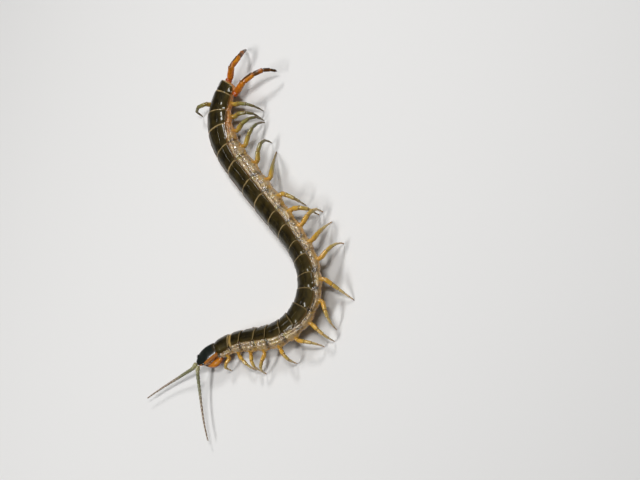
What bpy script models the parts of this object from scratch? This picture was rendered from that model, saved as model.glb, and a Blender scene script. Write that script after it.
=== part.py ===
# Giant centipede, life size, as a still model resting on its feet.
#
# Lengths below are in millimetres and angles in degrees; the meshes are built in metres, +Z up.
# The body is laid out along a curved middle line: s is the distance from the tip of the head
# towards the tail, w the distance to the animal's left and v the height above the line.

import bpy
import numpy as np

for old_object in list(bpy.data.objects):
    bpy.data.objects.remove(old_object, do_unlink=True)

MM = 0.001
JOINT_GAP = 0.28

# Where the animal lies on the floor, and how its middle line bends
PLACE = (-4.255, -24.40)
HEAD_TIP = (-44.34, 40.87)
HEAD_HEADING = -37.11
NECK_BEND = (-10.54, 45.0, -63.94)
MIDDLE_BEND = (6.1, 78.14, 142.54)
TAIL_BEND = (104.45, 78.3, -114.6)
HEAD_TURN = -0.10

# Head and trunk along the middle line
HEAD_LENGTH = 9.4
TRUNK_LENGTH = 140.1
SEGMENTS = 21
SEGMENTS_PER_LENGTH = 3
FRONT_SEGMENT = 5.2
LONGEST_EXTRA = 4.3
LONGEST_AT = 16.0
LENGTH_SPREAD = 4.2
LONG_RATIO = 1.12
SHORT_RATIO = 0.90
LAST_RATIO = 0.62
LONG_SEGMENTS = (1, 3, 5, 7, 8, 10, 12, 14, 16, 18, 20)

# Size of the trunk's section: half widths, and heights above and below its centre
FLANK_HALF_FRONT = 3.35
FLANK_HALF_MIDDLE = 5.55
FLANK_HALF_TAIL = 4.00
PLATE_SHARE = 0.85
TOP_HEIGHT = 2.90
BELLY_DEPTH = 2.90
CENTRE_HEIGHT = 6.3
END_DROP = 0.4
BANKED_RISE = 0.5
FRONT_SCALE = 0.80
TAIL_SCALE = 0.80
PLATE_STEP = 0.24
# rounded end of the tail: distance past the last segment and share of the section
TAIL_END = ((0.25, 0.88), (0.50, 0.62))

# The trunk leans to its right, most of all in the middle bend, so that the left flank looks up
LEAN_HEAD = 8.0
LEAN_TRUNK = 16.0
LEAN_TAIL = 8.0
LEAN_BANKED = 20.0
BANKED_AT = 71.1
BANKED_SPREAD = 20.0

# Walking legs
LEG_SIDES = 6
LEG_LENGTH_FRONT = 9.8
LEG_LENGTH_MIDDLE = 12.4
LEG_LENGTH_REAR = 14.6
FIRST_LEG_SHARE = 0.84
LEG_THICK_FRONT = 1.25
LEG_THICK_REAR = 1.65
SIDE_ROOT = (0.93, 0.50, 0.85, -0.53)
TUCKED_ROOT = (0.72, 0.86, 0.46, -0.888)
COXA_CLEARANCE = 0.54
SIDE_COXA = 0.9
TUCKED_COXA = 1.15
LINK_SHARES = (0.25, 0.21, 0.19, 0.18, 0.12, 0.05)
LINK_THICKNESS = (1.00, 0.86, 0.66, 0.48, 0.34, 0.20)
LINK_BENDS = (24.0, -20.0, -24.0, -20.0, -12.0, -10.0)
JOINT_WAIST = 0.78
FOOT_HEIGHT = 0.0
FOOT_RADIUS = 0.13
CLAW_CLEARANCE = 0.04

# Pose of the walking legs: swing forward of the straight-out direction
LEFT_SWING = (46, -38, -18, 28, -24, -45, 5, 60, 42, -40, -44, -28, 45, 66, -60, -38, -32, -5, 9, 2)
LEFT_REACH = (3.6, 6, 5, 6, 5, 7, 7, 8.5, 10.5, 8, 9, 7, 5, 4.5, 13, 9, 11, 9, 8.5, 10)
TUCKED_INWARD = 22.0
TUCKED_STRAIGHTER = 16
TUCKED_FOLD = 0.22
STEPPING_LEG = 20
STEPPING_SWING = 35.0
STEPPING_REACH = 4.5

# Last pair of legs, trailing from the tail
LAST_LEG_SIDES = 8
LAST_ROOT_HEIGHT = -0.3
LAST_ROOT_CLEARANCE = 0.78
LAST_ROOT_STEP = 0.30
LAST_TIP_RADIUS = 0.08
LAST_LEG_THICK = 2.5
LAST_LINK_LENGTHS = (5.4, 4.8, 3.9, 2.7, 2.1, 0.8)
LAST_LINK_THICKNESS = (1.00, 0.90, 0.76, 0.58, 0.42, 0.24)
LAST_LEFT_ROOT = (3.0, 5.15)
LAST_LEFT_HEADINGS = (-59.0, -61.0, -67.0, -77.0, -85.0, -90.0)
LAST_LEFT_RISES = (28.0, 2.0, -12.0, -36.0, -52.0, -52.0)
LAST_RIGHT_ROOT = (-0.80, -1.7)
LAST_RIGHT_HEADINGS = (-42.0, -20.0, 4.0, 19.0, 30.0, 36.0)
LAST_RIGHT_RISES = (42.0, -21.0, -37.0, -50.0, -50.0, -50.0)

# Antennae
ANTENNA_SIDES = 6
ANTENNA_ROOT = (0.1, 0.70, 0.62)
ANTENNA_CLEARANCE = 0.53
ANTENNA_TIP_RADIUS = 0.10
ANTENNA_ARTICLES = 18
ANTENNA_THICK_ROOT = 1.35
ANTENNA_THICK_TIP = 0.40
ANTENNA_LENGTH_LEFT = 26.1
ANTENNA_LENGTH_RIGHT = 24.8
ANTENNA_TURN_LEFT = (30.0, 44.0, 65.0)
ANTENNA_TURN_RIGHT = (6.0, -29.0, -16.0)
ANTENNA_DROP = (-16.0, -2.0)

# Head parts
SHIELD_HALF_WIDTH = 3.15
SHIELD_TOP = 2.30
SHIELD_UNDER = 0.10
OCELLI_AT = (2.1, 2.42, 0.98)
OCELLI_RADII = (0.62, 0.40, 0.36)
OCELLI_FACING = (0.82, 0.46, 0.34)
OCELLI_BUMP = 0.16

# Claw plate: s, half width, top and underside
CLAW_PLATE_STATIONS = ((4.6, 0.80, -1.15, -2.00), (5.2, 1.20, -0.95, -2.50), (7.3, 1.40, -0.75, -2.85),
                       (7.65, 3.40, -0.70, -2.90), (8.4, 3.85, -0.64, -2.95), (9.1, 3.60, -0.60, -2.75))
# Poison claws: s, sideways distance, height and radius along their middle
CLAW_STATIONS = ((7.25, 3.15, -2.00, 1.12), (6.4, 3.30, -2.00, 1.28), (5.45, 3.30, -2.03, 1.26),
                 (4.5, 3.08, -2.08, 1.12), (3.6, 2.68, -2.16, 0.92), (2.75, 2.15, -2.24, 0.70),
                 (2.05, 1.58, -2.32, 0.48), (1.55, 1.05, -2.38, 0.28), (1.3, 0.52, -2.42, 0.10))
# Mouthparts: s, half width and half depth
MOUTH_MIDDLE = -0.72
MOUTH_STATIONS = ((1.05, 0.45, 0.18), (1.3, 0.95, 0.34), (1.9, 1.35, 0.44), (2.8, 1.50, 0.46),
                  (3.6, 1.25, 0.36))


def smooth_turn(t):
    """Share of a bend's angle reached at share t of its length; curvature rises and falls gently."""
    t = np.clip(t, 0.0, 1.0)
    return t - np.sin(2.0 * np.pi * t) / (2.0 * np.pi)


def smooth_step(t):
    """Goes from 0 to 1 with level ends."""
    t = np.clip(t, 0.0, 1.0)
    return t * t * (3.0 - 2.0 * t)


def heading(s):
    """Heading of the middle line towards the tail, in radians."""
    angle = HEAD_HEADING + 0.0 * np.asarray(s, float)
    for start, length, turn in (NECK_BEND, MIDDLE_BEND, TAIL_BEND):
        angle = angle + turn * smooth_turn((np.asarray(s, float) - start) / length)
    return np.radians(angle)


LINE_S = np.linspace(0.0, 156.0, 1561)
LINE_STEP = LINE_S[1] - LINE_S[0]
LINE_HEADING = heading(0.5 * (LINE_S[1:] + LINE_S[:-1]))
LINE_X = PLACE[0] + HEAD_TIP[0] + np.append(0.0, np.cumsum(np.cos(LINE_HEADING)) * LINE_STEP)
LINE_Y = PLACE[1] + HEAD_TIP[1] + np.append(0.0, np.cumsum(np.sin(LINE_HEADING)) * LINE_STEP)


def trunk_share(s):
    """0 at the neck and 1 at the tail."""
    return (np.asarray(s, float) - HEAD_LENGTH) / TRUNK_LENGTH


def banked(s):
    """1 where the trunk banks most, falling to 0 before and behind."""
    return np.exp(-((np.asarray(s, float) - BANKED_AT) / BANKED_SPREAD) ** 2)


def lean(s):
    """Lean of the trunk to its right at s, in radians."""
    share = trunk_share(s)
    angle = LEAN_HEAD + (LEAN_TRUNK - LEAN_HEAD) * smooth_step(share / 0.2)
    angle = angle + (LEAN_TAIL - LEAN_TRUNK) * smooth_step((share - 0.75) / 0.25)
    return np.radians(angle + LEAN_BANKED * banked(s))


def directions(s):
    """Unit vectors towards the tail, to the left and up, all leaning with the trunk at s."""
    angle = heading(s)
    tail = np.array([np.cos(angle), np.sin(angle), 0.0])
    level_left = np.array([tail[1], -tail[0], 0.0])
    up = np.array([0.0, 0.0, 1.0])
    left = np.cos(lean(s)) * level_left + np.sin(lean(s)) * up
    return tail, left, np.cross(left, tail)


def centre(s):
    """Point of the middle line at s, at the height of the section's centre."""
    height = CENTRE_HEIGHT + BANKED_RISE * banked(s)
    height = height - END_DROP * smooth_step((0.08 - trunk_share(s)) / 0.12)
    height = height - END_DROP * smooth_step((trunk_share(s) - 0.75) / 0.25)
    return np.array([np.interp(s, LINE_S, LINE_X), np.interp(s, LINE_S, LINE_Y), height])


def place(s, w, v):
    """World points for sideways distances w and heights v in the plane across the line at s."""
    tail, left, up = directions(s)
    w = np.atleast_1d(np.asarray(w, float))
    v = np.atleast_1d(np.asarray(v, float))
    return centre(s) + w[:, None] * left + v[:, None] * up


def place_head(s, w, v):
    """World points on the head, which is turned a little to its right at the neck."""
    return place(s, np.asarray(w, float) + HEAD_TURN * (HEAD_LENGTH - s), v)


def segment_ends():
    """Distances s of the fronts of the 21 segments, and of the tail's end."""
    number = np.arange(1, SEGMENTS + 1)
    lengths = FRONT_SEGMENT + LONGEST_EXTRA * np.exp(-((number - LONGEST_AT) / LENGTH_SPREAD) ** 2)
    lengths = lengths * np.where(np.isin(number, LONG_SEGMENTS), LONG_RATIO, SHORT_RATIO)
    lengths[-1] = lengths[-1] * LAST_RATIO / SHORT_RATIO
    lengths = lengths * TRUNK_LENGTH / lengths.sum()
    return HEAD_LENGTH + np.append(0.0, np.cumsum(lengths))


SEGMENT_S = segment_ends()


def flank_half(s):
    """Half width of the trunk over the flanks."""
    share = trunk_share(s)
    half = FLANK_HALF_FRONT + (FLANK_HALF_MIDDLE - FLANK_HALF_FRONT) * smooth_step((share + 0.02) / 0.30)
    return half + (FLANK_HALF_TAIL - FLANK_HALF_MIDDLE) * smooth_step((share - 0.86) / 0.16)


def section_scale(s):
    """Share of the full height of the trunk's section."""
    share = trunk_share(s)
    scale = FRONT_SCALE + (1.0 - FRONT_SCALE) * smooth_step(share / 0.28)
    return scale + (TAIL_SCALE - 1.0) * smooth_step((share - 0.80) / 0.22)


def trunk_section(s, plate_lift, flank_swell):
    """Closed ring of w and v round the trunk, from the middle of the back over the left flank."""
    flank = flank_half(s) * (1.0 + flank_swell)
    plate = flank_half(s) * PLATE_SHARE + 0.35 * plate_lift
    top = TOP_HEIGHT * section_scale(s) + plate_lift
    belly = BELLY_DEPTH * section_scale(s) * (1.0 + 0.4 * flank_swell)
    w_half = np.array([0.46 * plate, 0.80 * plate, 0.96 * plate, plate, 0.94 * plate,
                       0.97 * flank, flank, 0.83 * flank, 0.60 * flank])
    v_half = np.array([0.96 * top, 0.83 * top, 0.62 * top, 0.48 * top, 0.35 * top,
                       0.05 * top, -0.34 * belly, -0.74 * belly, -0.98 * belly])
    w = np.concatenate([[0.0], w_half, [0.0], -w_half[::-1]])
    v = np.concatenate([[top], v_half, [-belly], v_half[::-1]])
    return w, v


def make_object(name, points, faces, colour):
    """Adds one closed mesh, with its faces turned outwards, and one material."""
    points = np.asarray(points, float)
    volume = 0.0
    for face in faces:
        for k in range(1, len(face) - 1):
            a, b, c = points[face[0]], points[face[k]], points[face[k + 1]]
            volume += np.dot(a, np.cross(b, c)) / 6.0
    if volume < 0.0:
        faces = [tuple(reversed(face)) for face in faces]
    mesh = bpy.data.meshes.new(name)
    mesh.from_pydata((points * MM).tolist(), [], [tuple(int(k) for k in face) for face in faces])
    mesh.update()
    obj = bpy.data.objects.new(name, mesh)
    bpy.context.scene.collection.objects.link(obj)
    material = bpy.data.materials.new(name + "_material")
    material.use_nodes = True
    shader = material.node_tree.nodes["Principled BSDF"]
    shader.inputs["Base Color"].default_value = (*colour, 1.0)
    shader.inputs["Roughness"].default_value = 0.35
    mesh.materials.append(material)
    return obj


def loft_faces(ring_count, side_count, first=0):
    """Quads between rings, and a fan over each end whose middle points come after the rings."""
    faces = []
    for r in range(ring_count - 1):
        for k in range(side_count):
            a = first + r * side_count + k
            b = first + r * side_count + (k + 1) % side_count
            faces.append((a, b, b + side_count, a + side_count))
    front = first + ring_count * side_count
    back = front + 1
    last = first + (ring_count - 1) * side_count
    for k in range(side_count):
        faces.append((front, first + (k + 1) % side_count, first + k))
        faces.append((back, last + k, last + (k + 1) % side_count))
    return faces


def loft(name, rings, colour):
    """One closed body through rings of equal point counts, capped at both ends."""
    rings = np.asarray(rings, float)
    count, sides = rings.shape[:2]
    points = np.concatenate([rings.reshape(-1, 3), [rings[0].mean(axis=0), rings[-1].mean(axis=0)]])
    return make_object(name, points, loft_faces(count, sides), colour)


def ring_about(middle, side, up, half_side, half_up, sides):
    """Ellipse of points with a flat edge facing down."""
    turn = 2.0 * np.pi * (np.arange(sides) + 0.5) / sides + 0.5 * np.pi
    return middle + half_side * np.cos(turn)[:, None] * side + half_up * np.sin(turn)[:, None] * up


def tube_rings(path, radii, side, sides, flat=1.0):
    """Rings along a path, each across the mean direction of its two neighbours."""
    path = np.asarray(path, float)
    rings = []
    for k in range(len(path)):
        ahead = path[min(k + 1, len(path) - 1)] - path[max(k - 1, 0)]
        ahead = ahead / np.linalg.norm(ahead)
        across = side - ahead * np.dot(side, ahead)
        across = across / np.linalg.norm(across)
        up = np.cross(ahead, across)
        rings.append(ring_about(path[k], across, up, radii[k], radii[k] * flat, sides))
    return rings


# Trunk: seven lengths of three segments, each with back plates, flanks and belly plates in one body
PLATE_COLOUR = (0.045, 0.050, 0.025)
# place in the segment, lift of the plate, swell of the flank
RING_PLAN = ((0.03, -0.45, -0.9), (0.13, 0.10, -0.3), (0.45, 0.30, 1.0), (0.80, 0.70, 0.4),
             (0.94, 1.00, -0.4), (0.985, 0.20, -0.9))
FLANK_SWELL = 0.045

for number in range(SEGMENTS // SEGMENTS_PER_LENGTH):
    rings = []
    for segment in range(SEGMENTS_PER_LENGTH):
        index = number * SEGMENTS_PER_LENGTH + segment
        start = SEGMENT_S[index]
        length = SEGMENT_S[index + 1] - start
        for share, lift, swell in RING_PLAN:
            s = start + share * length
            if segment == 0 and share == RING_PLAN[0][0]:
                s = start + 0.5 * JOINT_GAP
            if segment == SEGMENTS_PER_LENGTH - 1 and share == RING_PLAN[-1][0]:
                s = start + length - 0.5 * JOINT_GAP
            w, v = trunk_section(s, lift * PLATE_STEP, swell * FLANK_SWELL)
            rings.append(place(s, w, v))
    if number == SEGMENTS // SEGMENTS_PER_LENGTH - 1:
        for past, shrink in TAIL_END:
            w, v = trunk_section(SEGMENT_S[-1] - 0.3, 0.0, 0.0)
            rings.append(place(SEGMENT_S[-1] + past, w * shrink, v * shrink - 0.3 * past))
    loft("trunk_%d" % (number + 1), rings, PLATE_COLOUR)


# Walking legs: coxa against the flank, then five links and a claw in one upright plane
LEG_COLOUR = (0.48, 0.27, 0.08)


def leg_root(index, side, tucked):
    """Middle of the coxa's face, the way the flank faces there, and the s of the leg."""
    start = SEGMENT_S[index]
    s = start + 0.50 * (SEGMENT_S[index + 1] - start)
    aside, drop, level, rise = TUCKED_ROOT if tucked else SIDE_ROOT
    left, up = directions(s)[1:]
    out = side * level * left + rise * up
    skin = place(s, side * aside * flank_half(s), -drop * BELLY_DEPTH * section_scale(s))[0]
    return skin + COXA_CLEARANCE * out, out, s


def leg_length(number):
    """Length of a walking leg from the coxa's end to the claw's tip."""
    length = LEG_LENGTH_FRONT + (LEG_LENGTH_MIDDLE - LEG_LENGTH_FRONT) * smooth_step((number - 2) / 8.0)
    length = length + (LEG_LENGTH_REAR - LEG_LENGTH_MIDDLE) * smooth_step((number - 10) / 6.0)
    if number == 1:
        length = length * FIRST_LEG_SHARE
    return length


def chain(start, ways, lengths, rises):
    """Joint points of a chain whose links rise by the given angles above their level ways."""
    points = [np.asarray(start, float)]
    for way, length, rise in zip(ways, lengths, rises):
        step = np.cos(rise) * way + np.sin(rise) * np.array([0.0, 0.0, 1.0])
        points.append(points[-1] + length * step)
    return points


def standing_chain(start, ways, lengths, fold):
    """Joint points of a chain folded by a share of its bends and lowered to stand on its tip."""
    bends = np.cumsum(np.array(LINK_BENDS)) * fold
    low = -85.0
    high = 85.0
    for _ in range(40):
        lift = 0.5 * (low + high)
        points = chain(start, ways, lengths, np.radians(np.clip(bends + lift, -86.0, 72.0)))
        if points[-1][2] > FOOT_HEIGHT:
            high = lift
        else:
            low = lift
    return points


def reaching_chain(start, way, lengths, reach):
    """Standing chain whose tip lies at the wanted level distance, by folding it more or less."""
    low = 0.1
    high = 2.4
    for _ in range(30):
        fold = 0.5 * (low + high)
        points = standing_chain(start, [way] * len(lengths), lengths, fold)
        if np.dot(points[-1] - start, way) > reach:
            low = fold
        else:
            high = fold
    return points


def spread_points(number, root, out, s, swing, reach):
    """Joint points of a leg spread to the side in one upright plane."""
    tail = directions(s)[0]
    level_out = np.array([out[0], out[1], 0.0])
    level_out = level_out / np.linalg.norm(level_out)
    angle = np.radians(swing)
    way = np.cos(angle) * level_out - np.sin(angle) * tail
    lengths = leg_length(number) * np.array(LINK_SHARES)
    return reaching_chain(root + SIDE_COXA * out, way, lengths, reach)


def tucked_points(number, root, out, s):
    """Joint points of a leg trailing under the trunk's edge, following the trunk's curve."""
    lengths = leg_length(number) * np.array(LINK_SHARES)
    middles = np.cumsum(lengths) - 0.5 * lengths
    inward = TUCKED_INWARD * (1.0 - smooth_step((number - TUCKED_STRAIGHTER) / 4.0))
    turns = heading(s + middles) - np.radians(inward)
    ways = [np.array([np.cos(turn), np.sin(turn), 0.0]) for turn in turns]
    return standing_chain(root + TUCKED_COXA * out, ways, lengths, TUCKED_FOLD)


def walking_leg(number, root, out, points):
    """Rings of one walking leg from its face on the flank to the claw's tip on the floor."""
    way = points[-1] - points[0]
    way = way / np.linalg.norm(way)
    across = np.cross(np.array([0.0, 0.0, 1.0]), way)
    across = across / np.linalg.norm(across)
    coxa = np.linalg.norm(points[0] - root)
    thick = LEG_THICK_FRONT + (LEG_THICK_REAR - LEG_THICK_FRONT) * smooth_step((number - 1) / 14.0)
    radius = 0.5 * thick
    rings = []
    base_side = across - out * np.dot(across, out)
    base_side = base_side / np.linalg.norm(base_side)
    base_up = np.cross(out, base_side)
    for distance, share in ((0.0, 1.05), (0.6 * coxa, 0.98)):
        rings.append(ring_about(root + distance * out, base_side, base_up,
                                share * radius, share * radius, LEG_SIDES))
    path = []
    radii = []
    for k in range(len(LINK_SHARES)):
        near = points[k]
        far = points[k + 1]
        swell = radius * LINK_THICKNESS[k]
        if k < 3:
            path.append(near + 0.30 * (far - near))
            radii.append(swell)
            path.append(near + 0.78 * (far - near))
            radii.append(swell * 0.96)
        path.append(far)
        radii.append(swell * JOINT_WAIST)
    rings = rings + tube_rings(path, radii, across, LEG_SIDES)
    level_way = np.cross(across, np.array([0.0, 0.0, 1.0]))
    foot = np.array([points[-1][0], points[-1][1], 0.0])
    rings = np.array(rings)
    rings[:, :, 2] = np.maximum(rings[:, :, 2], CLAW_CLEARANCE)
    rings[-1] = ring_about(foot, across, level_way, FOOT_RADIUS, FOOT_RADIUS, LEG_SIDES)
    return rings


for number in range(1, SEGMENTS):
    root, out, s = leg_root(number - 1, 1, False)
    points = spread_points(number, root, out, s, LEFT_SWING[number - 1], LEFT_REACH[number - 1])
    loft("leg_left_%02d" % number, walking_leg(number, root, out, points), LEG_COLOUR)
    tucked = number != STEPPING_LEG
    root, out, s = leg_root(number - 1, -1, tucked)
    if tucked:
        points = tucked_points(number, root, out, s)
    else:
        points = spread_points(number, root, out, s, STEPPING_SWING, STEPPING_REACH)
    loft("leg_right_%02d" % number, walking_leg(number, root, out, points), LEG_COLOUR)


# Last pair of legs: longer and thicker, starting from the rear corners of the last segment
LAST_LEG_COLOUR = (0.50, 0.16, 0.03)


def last_leg(root_at, headings, rises):
    """Rings of one trailing leg; headings are in plan, rises above the level."""
    root = place(SEGMENT_S[-1] - root_at[0], root_at[1], LAST_ROOT_HEIGHT)[0]
    first = np.array([np.cos(np.radians(headings[0])), np.sin(np.radians(headings[0])), 0.0])
    root = root + LAST_ROOT_CLEARANCE * first
    points = [root + LAST_ROOT_STEP * first]
    for length, turn, rise in zip(LAST_LINK_LENGTHS, np.radians(headings), np.radians(rises)):
        step = np.array([np.cos(turn) * np.cos(rise), np.sin(turn) * np.cos(rise), np.sin(rise)])
        points.append(points[-1] + length * step)
    radius = 0.5 * LAST_LEG_THICK
    path = [root]
    radii = [radius * 0.92]
    for k in range(len(LAST_LINK_LENGTHS)):
        near = points[k]
        far = points[k + 1]
        swell = radius * LAST_LINK_THICKNESS[k]
        path.append(near + 0.25 * (far - near))
        radii.append(swell)
        path.append(near + 0.80 * (far - near))
        radii.append(swell * 0.97)
        path.append(far)
        radii.append(swell * 0.84)
    radii[-1] = LAST_TIP_RADIUS
    middle_turn = np.radians(np.mean(headings))
    across = np.array([-np.sin(middle_turn), np.cos(middle_turn), 0.0])
    return tube_rings(path, radii, across, LAST_LEG_SIDES)


loft("leg_left_21", last_leg(LAST_LEFT_ROOT, LAST_LEFT_HEADINGS, LAST_LEFT_RISES), LAST_LEG_COLOUR)
loft("leg_right_21", last_leg(LAST_RIGHT_ROOT, LAST_RIGHT_HEADINGS, LAST_RIGHT_RISES), LAST_LEG_COLOUR)


# Head: a low domed shield over the capsule, rounded in front
HEAD_COLOUR = (0.035, 0.045, 0.028)


def shield_half(t):
    """Half width of the head shield; t runs from 0 at the front to 1 at the neck."""
    front = np.sqrt(np.clip(1.0 - (1.0 - t / 0.52) ** 2, 0.0, 1.0))
    front = np.where(t < 0.52, 0.30 + 0.70 * front, 1.0)
    return SHIELD_HALF_WIDTH * front * (1.0 - 0.10 * smooth_step((t - 0.60) / 0.40))


def shield_top(t):
    """Height of the shield's middle over the centre line."""
    return SHIELD_TOP - 1.35 * (1.0 - smooth_step(t / 0.62))


def head_ring(t):
    """One ring of the head: domed top, thin rim and flat underside."""
    half = shield_half(t)
    top = shield_top(t)
    under = SHIELD_UNDER - 0.25 * smooth_step((t - 0.3) / 0.5)
    rim = under + 0.42 * (top - under)
    w_half = np.array([0.35, 0.66, 0.88, 0.99, 0.97, 0.78, 0.45]) * half
    v_half = np.array([0.97, 0.86, 0.62, 0.0, 0.0, 0.0, 0.0]) * (top - rim) + rim
    v_half[4] = rim - 0.35
    v_half[5] = under + 0.12
    v_half[6] = under
    w = np.concatenate([[0.0], w_half, [0.0], -w_half[::-1]])
    v = np.concatenate([[top], v_half, [under], v_half[::-1]])
    return w, v


head_rings = []
for t in (0.0, 0.05, 0.12, 0.22, 0.34, 0.48, 0.62, 0.76, 0.88, 0.96, 1.0):
    w, v = head_ring(t)
    if t == 0.0:
        v = 0.5 * (v + v.mean())
    if t == 1.0:
        w = 0.95 * w
        v = v - 0.10 * (v - v.mean())
    head_rings.append(place_head(0.15 + t * (HEAD_LENGTH - 0.30), w, v))
head = loft("head", head_rings, HEAD_COLOUR)


# Eyes: a low pad with four domes on each side of the head, let into a socket
EYE_COLOUR = (0.012, 0.012, 0.012)


def eye_pad(side, grow):
    """Points and faces of the pad; grow widens it into the cutter of its socket."""
    s, w, v = OCELLI_AT
    tail, left, up = directions(s)
    middle = place_head(s, side * w, v)[0]
    out = OCELLI_FACING[0] * side * left + OCELLI_FACING[1] * up - OCELLI_FACING[2] * tail
    out = out / np.linalg.norm(out)
    along = tail - out * np.dot(out, tail)
    along = along / np.linalg.norm(along)
    over = np.cross(out, along)
    columns = 12
    rows = 7
    rings = []
    for r in range(rows):
        tilt = np.pi * (r + 0.5) / rows
        ring = []
        for c in range(columns):
            turn = 2.0 * np.pi * c / columns
            ray = np.array([np.sin(tilt) * np.cos(turn), np.sin(tilt) * np.sin(turn), np.cos(tilt)])
            bump = 0.0
            if grow == 0.0 and ray[2] > 0.0:
                bump = OCELLI_BUMP * np.cos(2.0 * turn) ** 2 * np.sin(2.0 * tilt)
            sizes = np.array(OCELLI_RADII) * (1.0 + bump) + grow
            ring.append(middle + sizes[0] * ray[0] * along + sizes[1] * ray[1] * over
                        + sizes[2] * ray[2] * out)
        rings.append(ring)
    return rings


for side, word in ((1, "left"), (-1, "right")):
    cutter = loft("cutter", eye_pad(side, JOINT_GAP), EYE_COLOUR)
    cut = head.modifiers.new("socket", "BOOLEAN")
    cut.operation = "DIFFERENCE"
    cut.solver = "EXACT"
    cut.object = cutter
    graph = bpy.context.evaluated_depsgraph_get()
    cut_mesh = bpy.data.meshes.new_from_object(head.evaluated_get(graph))
    head.modifiers.clear()
    head.data = cut_mesh
    bpy.data.objects.remove(cutter, do_unlink=True)
    loft("ocelli_" + word, eye_pad(side, 0.0), EYE_COLOUR)


# Antennae: eighteen articles, thick at the root and fine at the tip
ANTENNA_COLOUR = (0.20, 0.20, 0.11)


def antenna(side, length, turns, drops):
    """Rings of one antenna; turns and drops give its heading and fall at root and tip."""
    s, w, v = ANTENNA_ROOT
    tail = directions(s)[0]
    root = place_head(s, side * w, v)[0]
    forward = np.arctan2(-tail[1], -tail[0])
    steps = 2 * ANTENNA_ARTICLES
    points = [root]
    for k in range(steps):
        share = (k + 0.5) / steps
        first = 1.0 - smooth_step(share / 0.12)
        turn = turns[1] + (turns[2] - turns[1]) * share + (turns[0] - turns[1]) * first
        turn = forward + np.radians(turn)
        drop = np.radians(drops[0] + (drops[1] - drops[0]) * smooth_step(share * 1.4))
        way = np.array([np.cos(turn) * np.cos(drop), np.sin(turn) * np.cos(drop), np.sin(drop)])
        points.append(points[-1] + length / steps * way)
    points = np.array(points)
    share = np.arange(steps + 1) / steps
    radii = 0.5 * (ANTENNA_THICK_ROOT + (ANTENNA_THICK_TIP - ANTENNA_THICK_ROOT) * share ** 0.8)
    radii = radii * np.where(np.arange(steps + 1) % 2 == 0, 0.90, 1.04)
    radii[-1] = ANTENNA_TIP_RADIUS
    path = points + ANTENNA_CLEARANCE * (points[1] - points[0]) / np.linalg.norm(points[1] - points[0])
    across = np.array([-np.sin(forward), np.cos(forward), 0.0])
    return tube_rings(path, radii, across, ANTENNA_SIDES)


loft("antenna_left", antenna(1, ANTENNA_LENGTH_LEFT, ANTENNA_TURN_LEFT, ANTENNA_DROP), ANTENNA_COLOUR)
loft("antenna_right", antenna(-1, ANTENNA_LENGTH_RIGHT, ANTENNA_TURN_RIGHT, ANTENNA_DROP), ANTENNA_COLOUR)


# Claw plate: the broad plate under the head that carries the poison claws
CLAW_COLOUR = (0.55, 0.15, 0.02)
plate_rings = []
for s, half, top, under in CLAW_PLATE_STATIONS:
    turn = 2.0 * np.pi * (np.arange(14) + 0.5) / 14
    corner = np.abs(np.cos(turn)) ** 0.7 * np.sign(np.cos(turn))
    level = np.abs(np.sin(turn)) ** 0.7 * np.sign(np.sin(turn))
    plate_rings.append(place_head(s, half * corner, 0.5 * (top + under) + 0.5 * (top - under) * level))
loft("claw_plate", plate_rings, CLAW_COLOUR)


# Poison claws: from beside the claw plate, forward round the head and in to the tips
def poison_claw(side):
    """Rings of one poison claw along its curved path, tapering to a point."""
    path = [place_head(s, side * w, v)[0] for s, w, v, radius in CLAW_STATIONS]
    radii = [radius for s, w, v, radius in CLAW_STATIONS]
    up = directions(CLAW_STATIONS[3][0])[2]
    rings = []
    for k in range(len(path)):
        ahead = path[min(k + 1, len(path) - 1)] - path[max(k - 1, 0)]
        ahead = ahead / np.linalg.norm(ahead)
        across = np.cross(up, ahead)
        across = across / np.linalg.norm(across)
        rings.append(ring_about(path[k], across, np.cross(ahead, across), radii[k], 0.82 * radii[k], 8))
    return rings


loft("forcipule_left", poison_claw(1), CLAW_COLOUR)
loft("forcipule_right", poison_claw(-1), CLAW_COLOUR)


# Mouthparts: a rounded lump between the head and the claws
MOUTH_COLOUR = (0.60, 0.40, 0.22)
mouth_rings = []
for s, half, deep in MOUTH_STATIONS:
    turn = 2.0 * np.pi * (np.arange(10) + 0.5) / 10
    mouth_rings.append(place_head(s, half * np.cos(turn), MOUTH_MIDDLE + deep * np.sin(turn)))
loft("mouthparts", mouth_rings, MOUTH_COLOUR)
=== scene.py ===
import bpy
import numpy as np
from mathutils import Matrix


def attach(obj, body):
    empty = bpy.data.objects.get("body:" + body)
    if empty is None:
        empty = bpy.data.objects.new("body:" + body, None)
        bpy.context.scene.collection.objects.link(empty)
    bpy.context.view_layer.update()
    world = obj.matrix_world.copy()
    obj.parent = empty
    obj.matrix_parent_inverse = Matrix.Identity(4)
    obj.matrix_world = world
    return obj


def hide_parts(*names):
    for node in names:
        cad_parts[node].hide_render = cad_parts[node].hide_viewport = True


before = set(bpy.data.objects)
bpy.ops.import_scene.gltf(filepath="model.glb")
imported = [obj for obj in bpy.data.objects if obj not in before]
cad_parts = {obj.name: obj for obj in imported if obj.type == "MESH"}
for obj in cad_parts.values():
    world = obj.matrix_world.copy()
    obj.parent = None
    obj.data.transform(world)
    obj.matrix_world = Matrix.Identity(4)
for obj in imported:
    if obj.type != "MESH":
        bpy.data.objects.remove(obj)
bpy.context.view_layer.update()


# ---- Skin of the trunk: the soft wrinkled hide of the flanks and belly under the hard plates.
# It is one leathery sleeve, folded in at every joint between the twenty-one segments, with
# raised oval pads round the sockets of the legs. Lengths here are in millimetres.
MM = 0.001
PLACE = (-4.255, -24.4)
HEAD_TIP = (-44.34, 40.87)
HEAD_HEADING = -37.11
BENDS = ((-10.54, 45.0, -63.94), (6.1, 78.14, 142.54), (104.45, 78.3, -114.6))
HEAD_LENGTH = 9.4
TRUNK_LENGTH = 140.1
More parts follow.
